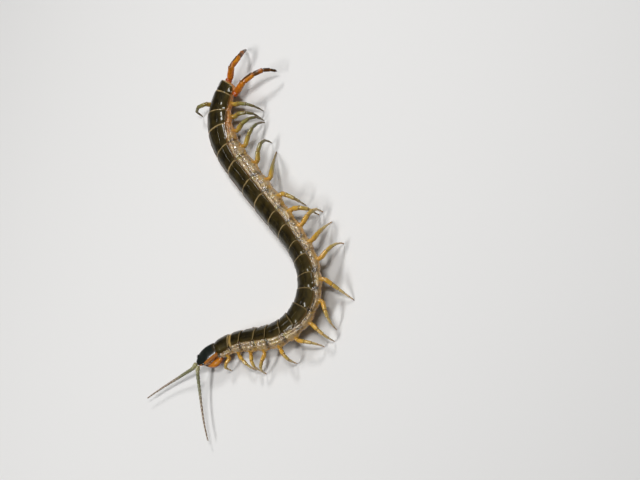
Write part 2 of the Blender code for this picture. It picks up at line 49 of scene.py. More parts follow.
SEGMENTS = 21
LONG_SEGMENTS = (1, 3, 5, 7, 8, 10, 12, 14, 16, 18, 20)
HALF_HEIGHT = 2.9
CENTRE_HEIGHT = 6.3
BANK_S, BANK_SPREAD = 71.1, 20.0
UP = np.array([0.0, 0.0, 1.0])


def ease(t):
    """Goes from 0 to 1 with level ends: 3 t^2 - 2 t^3."""
    t = np.clip(t, 0.0, 1.0)
    return t * t * (3.0 - 2.0 * t)


def bell(x):
    """Bell curve, exp(-x^2): 1 at 0 and falling to 0 on both sides."""
    return np.exp(-x ** 2)


def unit(vectors):
    """The vectors, each scaled to length 1."""
    return vectors / np.linalg.norm(vectors, axis=-1, keepdims=True)


def triples(*numbers):
    """Three numbers for every point, spread to one shape and stacked."""
    return np.stack(np.broadcast_arrays(*numbers), axis=-1)


def aimed(turn, lift=0.0):
    """Unit vectors at these headings and at these angles above the level."""
    return triples(np.cos(turn) * np.cos(lift), np.sin(turn) * np.cos(lift), np.sin(lift))


def heading(s):
    """Heading of the middle line at s, in radians: its angle at the head plus the share of each
    bend passed so far, where a bend's curvature rises and falls as a raised cosine."""
    angle = HEAD_HEADING + 0.0 * np.asarray(s, float)
    for start, length, turn in BENDS:
        t = np.clip((s - start) / length, 0.0, 1.0)
        angle = angle + turn * (t - np.sin(2.0 * np.pi * t) / (2.0 * np.pi))
    return np.radians(angle)


LINE_S = np.linspace(0.0, 156.0, 1561)
LINE_HEADING = heading(0.5 * (LINE_S[1:] + LINE_S[:-1]))
LINE_X = PLACE[0] + HEAD_TIP[0] + np.append(0.0, np.cumsum(np.cos(LINE_HEADING)) * LINE_S[1])
LINE_Y = PLACE[1] + HEAD_TIP[1] + np.append(0.0, np.cumsum(np.sin(LINE_HEADING)) * LINE_S[1])


def trunk_share(s):
    """0 at the neck and 1 at the tail."""
    return (np.asarray(s, float) - HEAD_LENGTH) / TRUNK_LENGTH


def banked(s):
    """1 where the trunk banks most in its middle bend, falling to 0 before and behind."""
    return bell((np.asarray(s, float) - BANK_S) / BANK_SPREAD)


def directions(s):
    """Unit vectors towards the tail, to the left and up at s, leaning with the trunk."""
    share = trunk_share(s)
    lean = 8.0 + 8.0 * ease(share / 0.2) - 8.0 * ease((share - 0.75) / 0.25)
    lean = np.radians(lean + 20.0 * banked(s))
    tail = aimed(heading(s))
    level_left = triples(tail[..., 1], -tail[..., 0], 0.0)
    left = np.cos(lean)[..., None] * level_left + np.sin(lean)[..., None] * UP
    return tail, left, np.cross(left, tail)


def place(s, w, v):
    """Points at distance s along the middle line, w to the left of it and v above it."""
    s, w, v = np.broadcast_arrays(np.asarray(s, float), np.asarray(w, float), np.asarray(v, float))
    share = trunk_share(s)
    height = CENTRE_HEIGHT + 0.5 * banked(s) - 0.4 * ease((0.08 - share) / 0.12)
    height = height - 0.4 * ease((share - 0.75) / 0.25)
    middle = triples(np.interp(s, LINE_S, LINE_X), np.interp(s, LINE_S, LINE_Y), height)
    left, up = directions(s)[1:]
    return middle + w[..., None] * left + v[..., None] * up


segment_number = np.arange(1, SEGMENTS + 1)
segment_length = 5.2 + 4.3 * bell((segment_number - 16.0) / 4.2)
segment_length = segment_length * np.where(np.isin(segment_number, LONG_SEGMENTS), 1.12, 0.9)
segment_length[-1] = segment_length[-1] * 0.62 / 0.9
segment_length = segment_length * TRUNK_LENGTH / segment_length.sum()
SEGMENT_S = HEAD_LENGTH + np.append(0.0, np.cumsum(segment_length))
SEGMENT_MIDDLE = 0.5 * (SEGMENT_S[1:] + SEGMENT_S[:-1])
TAIL_S = SEGMENT_S[-1]


def flank_half(s):
    """Half width over the flanks: narrow at the neck, widest behind it, narrower at the tail."""
    share = trunk_share(s)
    half = 3.35 + 2.2 * ease((share + 0.02) / 0.3)
    return half - 1.55 * ease((share - 0.86) / 0.16)


def half_height(s):
    """Half the height of the trunk's section, less at the neck and at the tail."""
    share = trunk_share(s)
    scale = 0.8 + 0.2 * ease(share / 0.28) - 0.2 * ease((share - 0.8) / 0.22)
    return HALF_HEIGHT * scale


def smooth_through(knots, values, x):
    """Smooth curve through values at knots: cubic pieces that leave each knot with the mean
    slope of its neighbours."""
    knots, values = np.asarray(knots, float), np.asarray(values, float)
    slope = np.gradient(values, knots, axis=0)
    x = np.clip(np.asarray(x, float), knots[0], knots[-1])
    k = np.clip(np.searchsorted(knots, x, side="right") - 1, 0, len(knots) - 2)
    step = knots[k + 1] - knots[k]
    t = (x - knots[k]) / step
    if values.ndim > 1:
        step, t = step[..., None], t[..., None]
    near = values[k] * (2.0 * t ** 3 - 3.0 * t ** 2 + 1.0)
    near = near + slope[k] * step * (t ** 3 - 2.0 * t ** 2 + t)
    far = values[k + 1] * (3.0 * t ** 2 - 2.0 * t ** 3)
    return near + far + slope[k + 1] * step * (t ** 3 - t ** 2)


def read_table(table, x):
    """The columns of a table behind its first, as smooth curves at x in that first column."""
    table = np.array(table)
    return np.moveaxis(smooth_through(table[:, 0], table[:, 1:], x), -1, 0)


def evenly(knots, steps):
    """Numbers from the first knot to the last, each gap cut into its own count of equal steps."""
    index = np.concatenate([k + np.arange(count) / count for k, count in enumerate(steps)])
    return np.interp(np.append(index, len(steps)), np.arange(len(knots)), knots)


def ripple(x, y, seed, waves=10):
    """Uneven relief of about -1 to 1: a sum of waves whose directions, lengths and starts come
    from a seeded generator."""
    rng = np.random.default_rng(seed)
    turn, start = rng.uniform(0.0, 2.0 * np.pi, (2, waves))
    size = rng.uniform(0.55, 1.7, waves)
    x, y = np.asarray(x, float)[..., None], np.asarray(y, float)[..., None]
    wave = np.sin(size * (np.cos(turn) * x + np.sin(turn) * y) + start)
    return wave.sum(axis=-1) / np.sqrt(waves)


# How far down the left flank each back plate reaches, as a share of the half width over the
# flanks: the trunk is rolled, so that the front and rear plates leave much of that flank bare
PLATE_SHARE = 0.85
LEFT_COVER = (0.82, 0.56, 0.46, 0.48, 0.58, 0.7, 0.85, 0.93, 0.9, 0.86, 0.78,
              0.74, 0.72, 0.62, 0.54, 0.49, 0.52, 0.74, 0.93, 1.02, 1.06)


def left_cover(s):
    """Share of the left flank under the plates at s."""
    return smooth_through(SEGMENT_MIDDLE, LEFT_COVER, s)


def bare_flank(s, side):
    """1 where the plates leave the left flank bare, 0 where they cover it and on the right."""
    return ease((PLATE_SHARE - left_cover(s)) / 0.25) * (side > 0.0)


def back_height(s, w):
    """Height of the back's dome at w: 1 - 0.62 |w / usual reach of a plate|^2.4 of the top's."""
    reach = PLATE_SHARE * flank_half(s)
    return half_height(s) * (1.0 - 0.62 * (np.abs(w) / reach) ** 2.4)


# Places round the skin's section, 0 at the middle of the back to 13 at the middle of the belly:
# share of the half width, share of the half height, how far it lies under the plates, how far it
# slides with a plate's left edge, its share of the dome's height there, and how deep under
GIRDLE = np.array([
    (0.0, 0.99, -0.36, 0.0, 1.0, 0.42), (0.391, 0.87, -0.36, 0.46, 1.0, 0.42),
    (0.68, 0.62, -0.34, 0.8, 1.0, 0.42), (0.77, 0.46, -0.22, 0.9, 1.0, 0.4),
    (0.782, 0.36, -0.1, 0.9, 1.0, 0.3), (0.775, 0.26, 0.0, 0.77, 1.0, 0.08),
    (0.88, 0.17, 0.0, 0.62, 1.0, 0.0), (0.962, 0.02, 0.0, 0.3, 0.75, 0.0),
    (0.991, -0.28, 0.0, 0.05, 0.0, 0.0), (0.94, -0.55, 0.0, 0.0, 0.0, 0.0),
    (0.815, -0.76, 0.0, 0.0, 0.0, 0.0), (0.61, -0.94, 0.0, 0.0, 0.0, 0.0),
    (0.31, -0.99, 0.0, 0.0, 0.0, 0.0), (0.0, -1.0, 0.0, 0.0, 0.0, 0.0)])
FLANK_TOP, FLANK_SPAN, GIRDLE_END = 4.0, 7.0, 13.0


def girdle_section(s, girdle, side):
    """Width and height of the smooth section at s and at a place round it. Where the left flank
    is bare the places near the plate's edge slide inwards and rise onto the dome of the back."""
    shares = np.moveaxis(smooth_through(np.arange(len(GIRDLE)), GIRDLE, girdle), -1, 0)
    width, height, sunk, slide, share, deep = shares
    drawn_in = np.maximum(PLATE_SHARE - left_cover(s), 0.0) * (side > 0.0)
    w = flank_half(s) * (width - slide * drawn_in)
    v = half_height(s) * height + sunk
    return w, v + bare_flank(s, side) * share * (back_height(s, w) - deep - v)


def skin_relief(s, girdle, side):
    """How far the skin stands out from its smooth section: a swelling in every segment; grooves,
    which are a fold at every joint, two lengthwise furrows, and wrinkles where uneven waves pass
    through zero; flat-topped oval pads, exp(-r^4); a mound round each leg; and fine ripples."""
    index = np.clip(np.searchsorted(SEGMENT_S, s, side="right") - 1, 0, SEGMENTS - 1)
    start = SEGMENT_S[index]
    length = SEGMENT_S[index + 1] - start
    q = np.clip((s - start) / length, 0.0, 1.0)
    f = (girdle - FLANK_TOP) / FLANK_SPAN
    inside = ease(f / 0.1) * ease((1.06 - f) / 0.16)
    away = 7.5 * f + 30.0 * side + 2.4 * bare_flank(s, side) * ease((girdle - 4.6) / 2.8)
    wander = ripple(0.9 * s, 0.5 * away, 11)
    joint = np.minimum(q, 1.0 - q) * length
    joint = np.abs(joint + 0.22 * wander * np.exp(-joint))
    upper = f - 0.335 - 0.035 * wander
    lower = f - 0.53 + 0.04 * wander + 0.05 * np.cos(2.0 * np.pi * q)
    coarse, fine = ripple(1.5 * s, 1.9 * away, 21), ripple(2.9 * s, 3.4 * away, 22)
    relief = 0.17 * np.sin(np.pi * q) ** 0.7
    for depth, distance, width in ((0.22, joint, 0.3), (0.13, upper, 0.03), (0.1, lower, 0.032),
                                   (0.16, coarse, 0.15), (0.09, fine, 0.2)):
        relief = relief - depth * bell(distance / width)
    for height, along, across in (
            (0.17, (q - 0.27 - 0.03 * wander) / 0.17, (f - 0.43) / 0.075),
            (0.14, (q - 0.7 + 0.04 * wander) / 0.19, (f - 0.42) / 0.07),
            (0.1, (q - 0.5) / 0.26, (f - 0.23) / 0.06)):
        relief = relief + height * bell(along ** 2 + across ** 2)
    socket = np.where(side > 0, 0.69, 0.89)
    relief = relief + 0.42 * bell((q - 0.5) / 0.2) * bell((f - socket) / 0.13)
    relief = relief + 0.06 * ripple(4.2 * s, 2.7 * away, 13)
    relief = relief + 0.036 * ripple(7.5 * s, 6.0 * away, 14)
    return relief * inside


def skin(s, girdle):
    """Point of the skin: the smooth section pushed outwards along its normal by the relief.
    The place round it is negative on the right. Returns the relief too."""
    s, girdle = np.broadcast_arrays(np.asarray(s, float), np.asarray(girdle, float))
    side = np.where(girdle < 0.0, -1.0, 1.0)
    g = np.abs(girdle)
    w, v = girdle_section(s, g, side)
    step = np.where(g < GIRDLE_END - 0.1, 0.02, -0.02)
    w_next, v_next = girdle_section(s, g + step, side)
    out_w = -(v_next - v) * np.sign(step)
    out_v = (w_next - w) * np.sign(step)
    size = np.hypot(out_w, out_v)
    relief = skin_relief(s, g, side)
    return place(s, side * (w + relief * out_w / size), v + relief * out_v / size), relief


def halves(a, b, c, d):
    """The two triangles of every face with these four corners."""
    return np.concatenate([triples(a, b, c).reshape(-1, 3), triples(a, c, d).reshape(-1, 3)])


def tube(rings, marks=(0.0, 0.0, 0.0)):
    """Closed body through rings of points: two triangles between each pair of neighbours, and a
    fan over each end round its middle point. marks are three numbers kept for every point."""
    rows, columns = rings.shape[:2]
    index = np.arange(rows * columns).reshape(rows, columns)
    turned = np.roll(index, -1, axis=1)
    front = np.full(columns, rows * columns)
    faces = np.concatenate([halves(index[:-1], turned[:-1], turned[1:], index[1:]),
                            triples(front, turned[0], index[0]),
                            triples(front + 1, index[-1], turned[-1])])
    marks = np.broadcast_to(marks, rings.shape)
    points, marks = (
        np.concatenate([each.reshape(-1, 3), [each[0].mean(axis=0), each[-1].mean(axis=0)]])
        for each in (rings, marks))
    return points, faces, marks


def piece(name, parts, material, nodes=()):
    """Joins closed bodies into one object on the root, each turned outwards by the sign of its
    volume, smooth, with the marks kept in the attribute named at."""
    points, faces, marks, first = [], [], [], 0
    for part_points, part_faces, part_marks in parts:
        a, b, c = (part_points[part_faces[:, k]] for k in range(3))
        if np.einsum("ij,ij->", a, np.cross(b, c)) < 0.0:
            part_faces = part_faces[:, ::-1]
        points.append(part_points)
        faces.append(part_faces + first)
        marks.append(part_marks)
        first += len(part_points)
    points, faces = np.concatenate(points) * MM, np.concatenate(faces)
    mesh = bpy.data.meshes.new(name)
    mesh.from_pydata(points.tolist(), [], faces.tolist(), shade_flat=False)
    kept = mesh.attributes.new("at", "FLOAT_VECTOR", "POINT")
    kept.data.foreach_set("vector", np.concatenate(marks).astype(np.float32).ravel())
    mesh.validate()
    mesh.materials.append(material)
    made = bpy.data.objects.new(name, mesh)
    bpy.context.scene.collection.objects.link(made)
    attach(made, "root")
    if nodes:
        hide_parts(*nodes)


def node(tree, kind, inputs=None, **settings):
    """Adds one shader node, sets its properties and fills or links its inputs."""
    made = tree.nodes.new(kind)
    for key, value in settings.items():
        setattr(made, key, value)
    for key, value in (inputs or {}).items():
        if isinstance(value, bpy.types.NodeSocket):
            tree.links.new(value, made.inputs[key])
        else:
            made.inputs[key].default_value = value
    return made


def maths(operation, first, second=0.5):
    """One arithmetic node in the tree of its first value."""
    return node(first.id_data, "ShaderNodeMath", {0: first, 1: second},
                operation=operation).outputs[0]


def times(first, second):
    """Product of two values."""
    return maths("MULTIPLY", first, second)


def rise(value, low, high, end=1.0, start=0.0):
    """Smooth step of a value from start at low to end at high."""
    return node(value.id_data, "ShaderNodeMapRange", {
        "Value": value, "From Min": low, "From Max": high, "To Min": start, "To Max": end},
        interpolation_type="SMOOTHSTEP").outputs[0]


def tint(share, first, second):
    """Colour that goes from the first to the second with the share."""
    first, second = ((*each, 1.0) if isinstance(each, tuple) else each for each in (first, second))
    return node(share.id_data, "ShaderNodeMix", {0: share, 6: first, 7: second},
                data_type="RGBA").outputs[2]


def paint(shader, colour, *washes):
    """Gives a shader its colour, with washes laid over it in turn: each a share and a colour."""
    for share, wash in washes:
        colour = tint(share, colour, wash)
    shader.id_data.links.new(colour, shader.inputs["Base Color"])


def cuticle_grain():
    """Shader group of the horny skin: fine pits and grain for the bump, and a slow mottle for the
    colour, both from Object coordinates with sizes given per metre."""
    group = bpy.data.node_groups.new("cuticle_grain", "ShaderNodeTree")
    for label, way in (("Grain", "INPUT"), ("Patch", "INPUT"),
                       ("Height", "OUTPUT"), ("Mottle", "OUTPUT")):
        group.interface.new_socket(label, in_out=way, socket_type="NodeSocketFloat")
    given = node(group, "NodeGroupInput").outputs
    spot = node(group, "ShaderNodeTexCoord").outputs["Object"]
    grain = node(group, "ShaderNodeTexNoise", {
        "Vector": spot, "Scale": given["Grain"], "Detail": 3.0})
    pits = node(group, "ShaderNodeTexVoronoi", {"Vector": spot, "Scale": given["Grain"]})
    patch = node(group, "ShaderNodeTexNoise", {
        "Vector": spot, "Scale": given["Patch"], "Detail": 4.0, "Roughness": 0.6})
    deep = rise(pits.outputs["Distance"], 0.0, 0.35)
    height = maths("ADD", times(grain.outputs[0], 0.7), times(deep, 0.3))
    node(group, "NodeGroupOutput", {"Height": height, "Mottle": rise(patch.outputs[0], 0.35, 0.65)})
    return group


CUTICLE_GRAIN = cuticle_grain()


def finish(name, grain, patch, bump, **sockets):
    """New material of one plain shader with the grain group on its normal. Returns the material,
    the shader, the place kept on the piece as three numbers, and the mottle."""
    material = bpy.data.materials.new(name)
    material.use_nodes = True
    tree = material.node_tree
    shader = tree.nodes["Principled BSDF"]
    for key, value in sockets.items():
        shader.inputs[key.replace("_", " ")].default_value = value
    grained = node(tree, "ShaderNodeGroup", {"Grain": grain, "Patch": patch},
                   node_tree=CUTICLE_GRAIN).outputs
    raised = node(tree, "ShaderNodeBump", {
        "Strength": 1.0, "Distance": bump * MM, "Height": grained["Height"]})
    tree.links.new(raised.outputs[0], shader.inputs["Normal"])
    kept = node(tree, "ShaderNodeAttribute", attribute_name="at")
    spot = node(tree, "ShaderNodeSeparateXYZ", {0: kept.outputs["Vector"]}).outputs
    return material, shader, spot, grained["Mottle"]


hide, shader, spot, mottle = finish(
    "hide", grain=2300.0, patch=800.0, bump=0.06, Roughness=0.36, Coat_Weight=1.0,
    Coat_Roughness=0.16, Coat_IOR=1.6, Subsurface_Weight=0.12, Subsurface_Scale=0.0012)
relief_mark, flank_mark, trunk_mark = spot
speckle = node(hide.node_tree, "ShaderNodeTexNoise", {
    "Vector": node(hide.node_tree, "ShaderNodeTexCoord").outputs["Object"],
    "Scale": 380.0, "Detail": 3.0}).outputs[0]
uneven = maths("ADD", flank_mark, times(speckle, 0.5))
paint(shader, tint(mottle, (0.115, 0.078, 0.034), (0.34, 0.215, 0.095)),
      (rise(speckle, 0.5, 0.66, 0.75), (0.34, 0.235, 0.045)),
      # painted light and shade from the relief: raised pads and ridges paler as a painted
      # highlight, furrows and folds dark as painted shade
      (rise(relief_mark, 0.05, 0.26, 0.55), (0.5, 0.36, 0.18)),
      (rise(relief_mark, 0.0, -0.2, 0.85), (0.045, 0.031, 0.013)),
      (rise(uneven, 0.62, 0.98, 0.8), (0.52, 0.27, 0.04)),
      # painted shade: the skin just under the overhanging edges of the back plates is darkened
      (rise(flank_mark, 0.16, 0.02, 0.7), (0.06, 0.042, 0.018)),
      (rise(trunk_mark, 0.78, 0.9, 0.85), (0.56, 0.21, 0.03)))

FIRST_RING_S, LAST_RING_S = 8.6, TAIL_S - 0.02
around_left = evenly((0.0, 4.0, 8.0, 11.0, GIRDLE_END), (8, 25, 15, 7))
around_right = evenly((0.0, 4.0, 11.0, GIRDLE_END), (8, 25, 7))
rings_s = evenly((FIRST_RING_S, HEAD_LENGTH, LAST_RING_S), (5, 914))
grid_s, grid_g = np.meshgrid(rings_s, np.append(around_left, -around_right[-2:0:-1]), indexing="ij")
rings, relief = skin(grid_s, grid_g)
# Three smaller rings close the tail: their share of the last one, and how far behind they lie
shrunk, behind = np.array([(0.9, -0.05), (0.66, 0.25), (0.34, 0.4)]).T[..., None, None]
closing = place(TAIL_S + 0.3, 0.0, -0.1) + behind * directions(TAIL_S)[0]
closing = closing + shrunk * (rings[-1] - place(LAST_RING_S, 0.0, -0.1))
marks = triples(relief, (np.abs(grid_g) - FLANK_TOP) / FLANK_SPAN, trunk_share(grid_s))
rings = np.concatenate([rings, closing])
marks = np.concatenate([marks, np.repeat(marks[-1:], 3, axis=0)])
piece("trunk_skin", [tube(rings, marks)], hide,
      ["trunk_%d" % (k + 1) for k in range(SEGMENTS // 3)])


# ---- Back plates: twenty-one hard, glossy, dark olive plates, one on each segment.
# Each is a thin horny shell whose front edge is tucked under the plate before it and whose rear
# edge stands up a little; two fine sutures run along it, and the rear ones have raised margins.
PLATE_STEP = 0.24
PLATE_WALL = 0.15
SUTURE_AT = 0.325
MARGIN_AT = 0.88
# Along a plate: where, and its height there in steps, from under the plate before to the lip
LIFT_T = (0.0, 0.07, 0.16, 0.45, 0.8, 0.94, 1.0)
LIFT = (-1.15, -0.75, -0.05, 0.35, 0.75, 1.0, 0.95)
half_x = np.array([0.0, 0.11, 0.2, 0.255, 0.285, 0.302, 0.314, 0.325, 0.336, 0.348, 0.365, 0.395,
                   0.45, 0.52, 0.6, 0.68, 0.75, 0.81, 0.845, 0.865, 0.88, 0.893, 0.906, 0.92,
                   0.938, 0.957, 0.973, 0.985, 0.993, 0.998, 1.0])
plate_x = np.append(-half_x[:0:-1], half_x)
plate_t = np.array([0.0, 0.04, 0.08, 0.13, 0.19, 0.26, 0.33, 0.4, 0.47, 0.54, 0.61, 0.68, 0.74,
                    0.8, 0.85, 0.89, 0.92, 0.942, 0.96, 0.973, 0.983, 0.99, 0.995, 0.998, 1.0])


def shell(top, under, marks):
    """Closed thin body between two grids of points: both faces and the wall round them."""
    rows, columns = top.shape[:2]
    index = np.arange(rows * columns).reshape(rows, columns)
    rim = np.concatenate([index[0], index[1:, -1], index[-1, -2::-1], index[-2:0:-1, 0]])
    turned = np.roll(rim, -1)
    face = halves(index[:-1, :-1], index[:-1, 1:], index[1:, 1:], index[1:, :-1])
    count = rows * columns
    faces = np.concatenate([face, face[:, ::-1] + count,
                            halves(turned, rim, rim + count, turned + count)])
    points = np.concatenate([top.reshape(-1, 3), under.reshape(-1, 3)])
    return points, faces, np.concatenate([marks.reshape(-1, 3)] * 2)


def rounded_end(t):
    """0 along a plate, rising to 1 over its last 3.5% as a quarter circle falls away."""
    return 1.0 - np.sqrt(np.clip(1.0 - ((t - 0.965) / 0.035).clip(0.0) ** 2, 0.0, 1.0))


def back_plate(number):
    """One plate: it lies on the dome of the back from its right edge to its left, and along it
    the plate rises from under the one before to a lip that turns down at the rear."""
    start, end = SEGMENT_S[number - 1], SEGMENT_S[number]
    t, x = np.meshgrid(plate_t, plate_x, indexing="ij")
    edge = np.abs(x)
    corner = 0.75 if number < SEGMENTS else 0.9
    front = start - 0.34 + 0.45 * edge ** 4
    rear = end + 0.06 - corner * edge ** 7
    s = front + t * (rear - front)
    lift = PLATE_STEP * smooth_through(LIFT_T, LIFT, t)
    sides = 1.0 - 0.055 * np.abs(2.0 * t - 1.0) ** 4 - 0.05 * ease((0.16 - t) / 0.16)
    if number == SEGMENTS:
        sides = sides * (1.0 - 0.12 * ease(t) ** 1.3)
    at = np.minimum(s, TAIL_S)
    on_right = PLATE_SHARE + 0.12 * ease((number - 17.5) / 3.5)
    on_right = on_right + 0.1 * bare_flank(at, 1.0) + 0.07 * bell((number - 8.0) / 1.6)
    reach = 0.5 * (left_cover(at) + on_right)
    half = (reach * flank_half(at) + 0.35 * lift) * sides
    w = (left_cover(at) - reach) * flank_half(at) + half * x
    v = back_height(s, w) + lift - 0.14 * rounded_end(t)
    dents = 0.035 * ripple(0.9 * s, 5.17 * x, 40 + number)
    dents = dents + 0.012 * ripple(2.6 * s, 13.16 * x, 70 + number)
    v = v + dents * ease((1.0 - edge) / 0.2)
    if 3 <= number < SEGMENTS:
        suture = bell((edge - SUTURE_AT - 0.03 * (t - 0.5) ** 2) / 0.014)
        v = v - 0.075 * suture * ease((t - 0.05) / 0.1)
    margin = ease((edge - MARGIN_AT - 0.005) / 0.03) - 0.8 * bell((edge - MARGIN_AT) / 0.018)
    v = v + 0.085 * ease((number - 4.0) / 4.0) * margin
    under = place(s, w - 0.035 * half * x, v - PLATE_WALL - 0.03 * edge)
    return shell(place(s, w, v), under, triples(x, t, (number - 1.0) / (SEGMENTS - 1.0)))


horn, shader, spot, mottle = finish(
    "dark_horn", grain=3400.0, patch=420.0, bump=0.012, Roughness=0.36, Specular_IOR_Level=0.14,
    Specular_Tint=(1.0, 0.82, 0.35, 1.0), Coat_Weight=0.4, Coat_Roughness=0.08)
signed_across, along, plate_mark = spot
across = maths("ABSOLUTE", signed_across)
reddish = rise(plate_mark, 0.6, 0.85, 0.75, start=0.25)
band = times(rise(along, 0.915, 0.955), rise(across, 1.0, 0.8, start=0.35))
band = times(band, rise(mottle, 0.0, 1.0, start=0.6))
paler = maths("MAXIMUM", rise(plate_mark, 0.3, 0.65, start=0.5), rise(plate_mark, 0.04, 0.01))
second_plate = times(rise(plate_mark, 0.03, 0.05), rise(plate_mark, 0.07, 0.05))
collar = times(rise(along, 0.34, 0.22, 0.9), second_plate)
paint(shader, tint(mottle, (0.007, 0.0046, 0.0014), (0.028, 0.019, 0.0034)),
      (rise(across, 0.45, 0.8, 0.45), (0.044, 0.027, 0.0045)),
      (times(rise(across, 0.86, 0.97), reddish), (0.13, 0.042, 0.006)),
      (rise(across, 0.965, 0.992, 0.6), (0.24, 0.17, 0.075)),
      (times(band, paler), (0.29, 0.2, 0.085)),
      (collar, (0.34, 0.215, 0.065)))
piece("back_plates", [back_plate(k + 1) for k in range(SEGMENTS)], horn)


# ---- Belly plates: one flat, rounded square plate of paler horn under every segment.
# They are set into the soft belly with a fold all round, and two sutures run along each.
def belly_plate(number):
    """One plate: a rounded square that bulges down by 0.16 in the middle, under the belly."""
    start, end = SEGMENT_S[number - 1], SEGMENT_S[number]
    t, x = np.meshgrid(np.linspace(0.0, 1.0, 15), plate_x[::2], indexing="ij")
    edge = np.abs(x)
    s = start + (0.07 + 0.05 * edge ** 6 + t * (0.86 - 0.1 * edge ** 6)) * (end - start)
    round_off = (1.0 - np.abs(2.0 * t - 1.0) ** 8) * (1.0 - edge ** 8)
    half = 0.6 * flank_half(s) * (1.0 - 0.06 * np.abs(2.0 * t - 1.0) ** 3)
    depth = half_height(s) * (1.0 - 0.045 * edge ** 3)
    bulge = 0.16 * np.sqrt(np.clip(round_off, 0.0, 1.0)) - 0.05 * bell((edge - 0.4) / 0.03)
    inner = place(s, half * x * 0.97, 0.2 - depth)
    return shell(place(s, half * x, -depth - bulge), inner, triples(edge, 0.0, 0.0))


pale_horn, shader, spot, mottle = finish(
    "pale_horn", grain=3000.0, patch=600.0, bump=0.015, Roughness=0.32, Coat_Weight=0.4,
    Coat_Roughness=0.1)
paint(shader, tint(mottle, (0.19, 0.145, 0.06), (0.3, 0.22, 0.095)),
      (rise(spot[0], 0.8, 1.0, 0.7), (0.42, 0.22, 0.05)))
piece("belly_plates", [belly_plate(k + 1) for k in range(SEGMENTS)], pale_horn)


# ---- Spiracles: the dark breathing slits of nine segments, each in an oval horny rim.
# They are set into the flank just above and behind the sockets of the legs.
SPIRACLE_SEGMENTS = (3, 5, 8, 10, 12, 14, 16, 18, 20)
# From the middle of the slit to the rim and back under it: share of the reach, and height
SPIRACLE_REACH = np.array([0.02, 0.25, 0.42, 0.52, 0.64, 0.78, 0.9, 1.0, 1.02, 0.6])[:, None, None]
SPIRACLE_RISE = np.array([-0.06, -0.02, 0.05, 0.13, 0.19, 0.19, 0.1, -0.02, -0.25, -0.45])
SIDES = ((1, "left"), (-1, "right"))


def circle(sides):
    """Angles spaced evenly round a circle."""
    return 2.0 * np.pi * np.arange(sides) / sides


def spiracle(number, side):
    """An oval cup: across it, from middle to rim, the height goes from a deep slit up over a
    rounded lip and down into the skin."""
    s = SEGMENT_S[number - 1] + 0.62 * (SEGMENT_S[number] - SEGMENT_S[number - 1])
    girdle = side * (6.6 + 0.8 * bare_flank(s, side))
    ahead, behind, above, below, middle = (skin(s + ds, girdle + side * dg)[0] for ds, dg in (
        (-0.3, 0.0), (0.3, 0.0), (0.0, -0.3), (0.0, 0.3), (0.0, 0.0)))
    along = unit(behind - ahead)
    over = above - below
    over = unit(over - along * np.dot(over, along))
    out = side * np.cross(along, over)
    turn = circle(24)[:, None]
    oval = 0.5 * np.cos(turn) * along + 0.28 * np.sin(turn) * over
    rings = middle + SPIRACLE_REACH * oval + 0.8 * SPIRACLE_RISE[:, None, None] * out
    return tube(rings, triples(SPIRACLE_REACH[..., 0], 0.0, 0.0))


rim_horn, shader, spot, mottle = finish(
    "spiracle_horn", grain=3000.0, patch=900.0, bump=0.01, Roughness=0.3, Coat_Weight=0.4,
    Coat_Roughness=0.08)
paint(shader, tint(rise(spot[0], 0.36, 0.56), (0.012, 0.008, 0.005), (0.17, 0.11, 0.05)))
piece("spiracles", [spiracle(k, side) for k in SPIRACLE_SEGMENTS for side in (1, -1)],
      rim_horn)


# ---- Walking legs: twenty pairs of jointed legs, each a chain of hollow horny tubes.
# A short cone stands out of the flank, then come thigh, knee, shin and two foot joints, each
# wider at its far end, with soft folds between, and a dark curved claw on the floor.
LEG_LENGTHS = 9.8 + 2.6 * ease((segment_number - 2) / 8.0)
LEG_LENGTHS = LEG_LENGTHS + 2.2 * ease((segment_number - 10) / 6.0)
LEG_LENGTHS[0] = LEG_LENGTHS[0] * 0.84
LINK_SHARES = np.array([0.25, 0.21, 0.19, 0.18, 0.12, 0.05])
LINK_BENDS = np.array([24.0, -20.0, -24.0, -20.0, -12.0, -10.0])
LINK_FULLNESS = np.array([1.2, 1.02, 0.74, 0.5, 0.34])
COXA_CLEARANCE = 0.54
# Along the socket's cone, and below along an article: where, and the share of the radius there
COXA_T = np.array([0.0, 0.15, 0.3, 0.42, 0.52, 0.62, 0.72, 0.82, 0.9, 0.96, 0.99])
COXA_FORM = np.array([1.75, 1.62, 1.42, 1.26, 1.16, 1.1, 1.07, 1.05, 1.02, 0.93, 0.82])
# How far each left leg swings forward, in degrees, and how far out of its socket its foot lies
LEFT_SWING = (46, -38, -18, 28, -24, -45, 5, 60, 42, -40, -44, -28, 45, 66, -60, -38, -32, -5, 9, 2)
LEFT_REACH = (3.6, 6, 5, 6, 5, 7, 7, 8.5, 10.5, 8, 9, 7, 5, 4.5, 13, 9, 11, 9, 8.5, 10)
RIGHT_SWING, RIGHT_REACH = 35.0, 4.5
STEPPING_LEG = 20
ARTICLE_T = np.array([0.0, 0.03, 0.08, 0.16, 0.28, 0.42, 0.56, 0.7, 0.82, 0.9, 0.945, 0.975, 0.995])
ARTICLE_FORM = np.array([0.76, 0.82, 0.9, 0.96, 1.0, 1.0, 0.99, 0.99, 1.01, 1.04, 1.03, 0.93, 0.8])
FLOOR_GAP = 0.03


def chain(base, steps):
    """The points reached from the base by one step after another."""
    return base + np.concatenate([np.zeros((1, 3)), np.cumsum(steps, axis=0)])


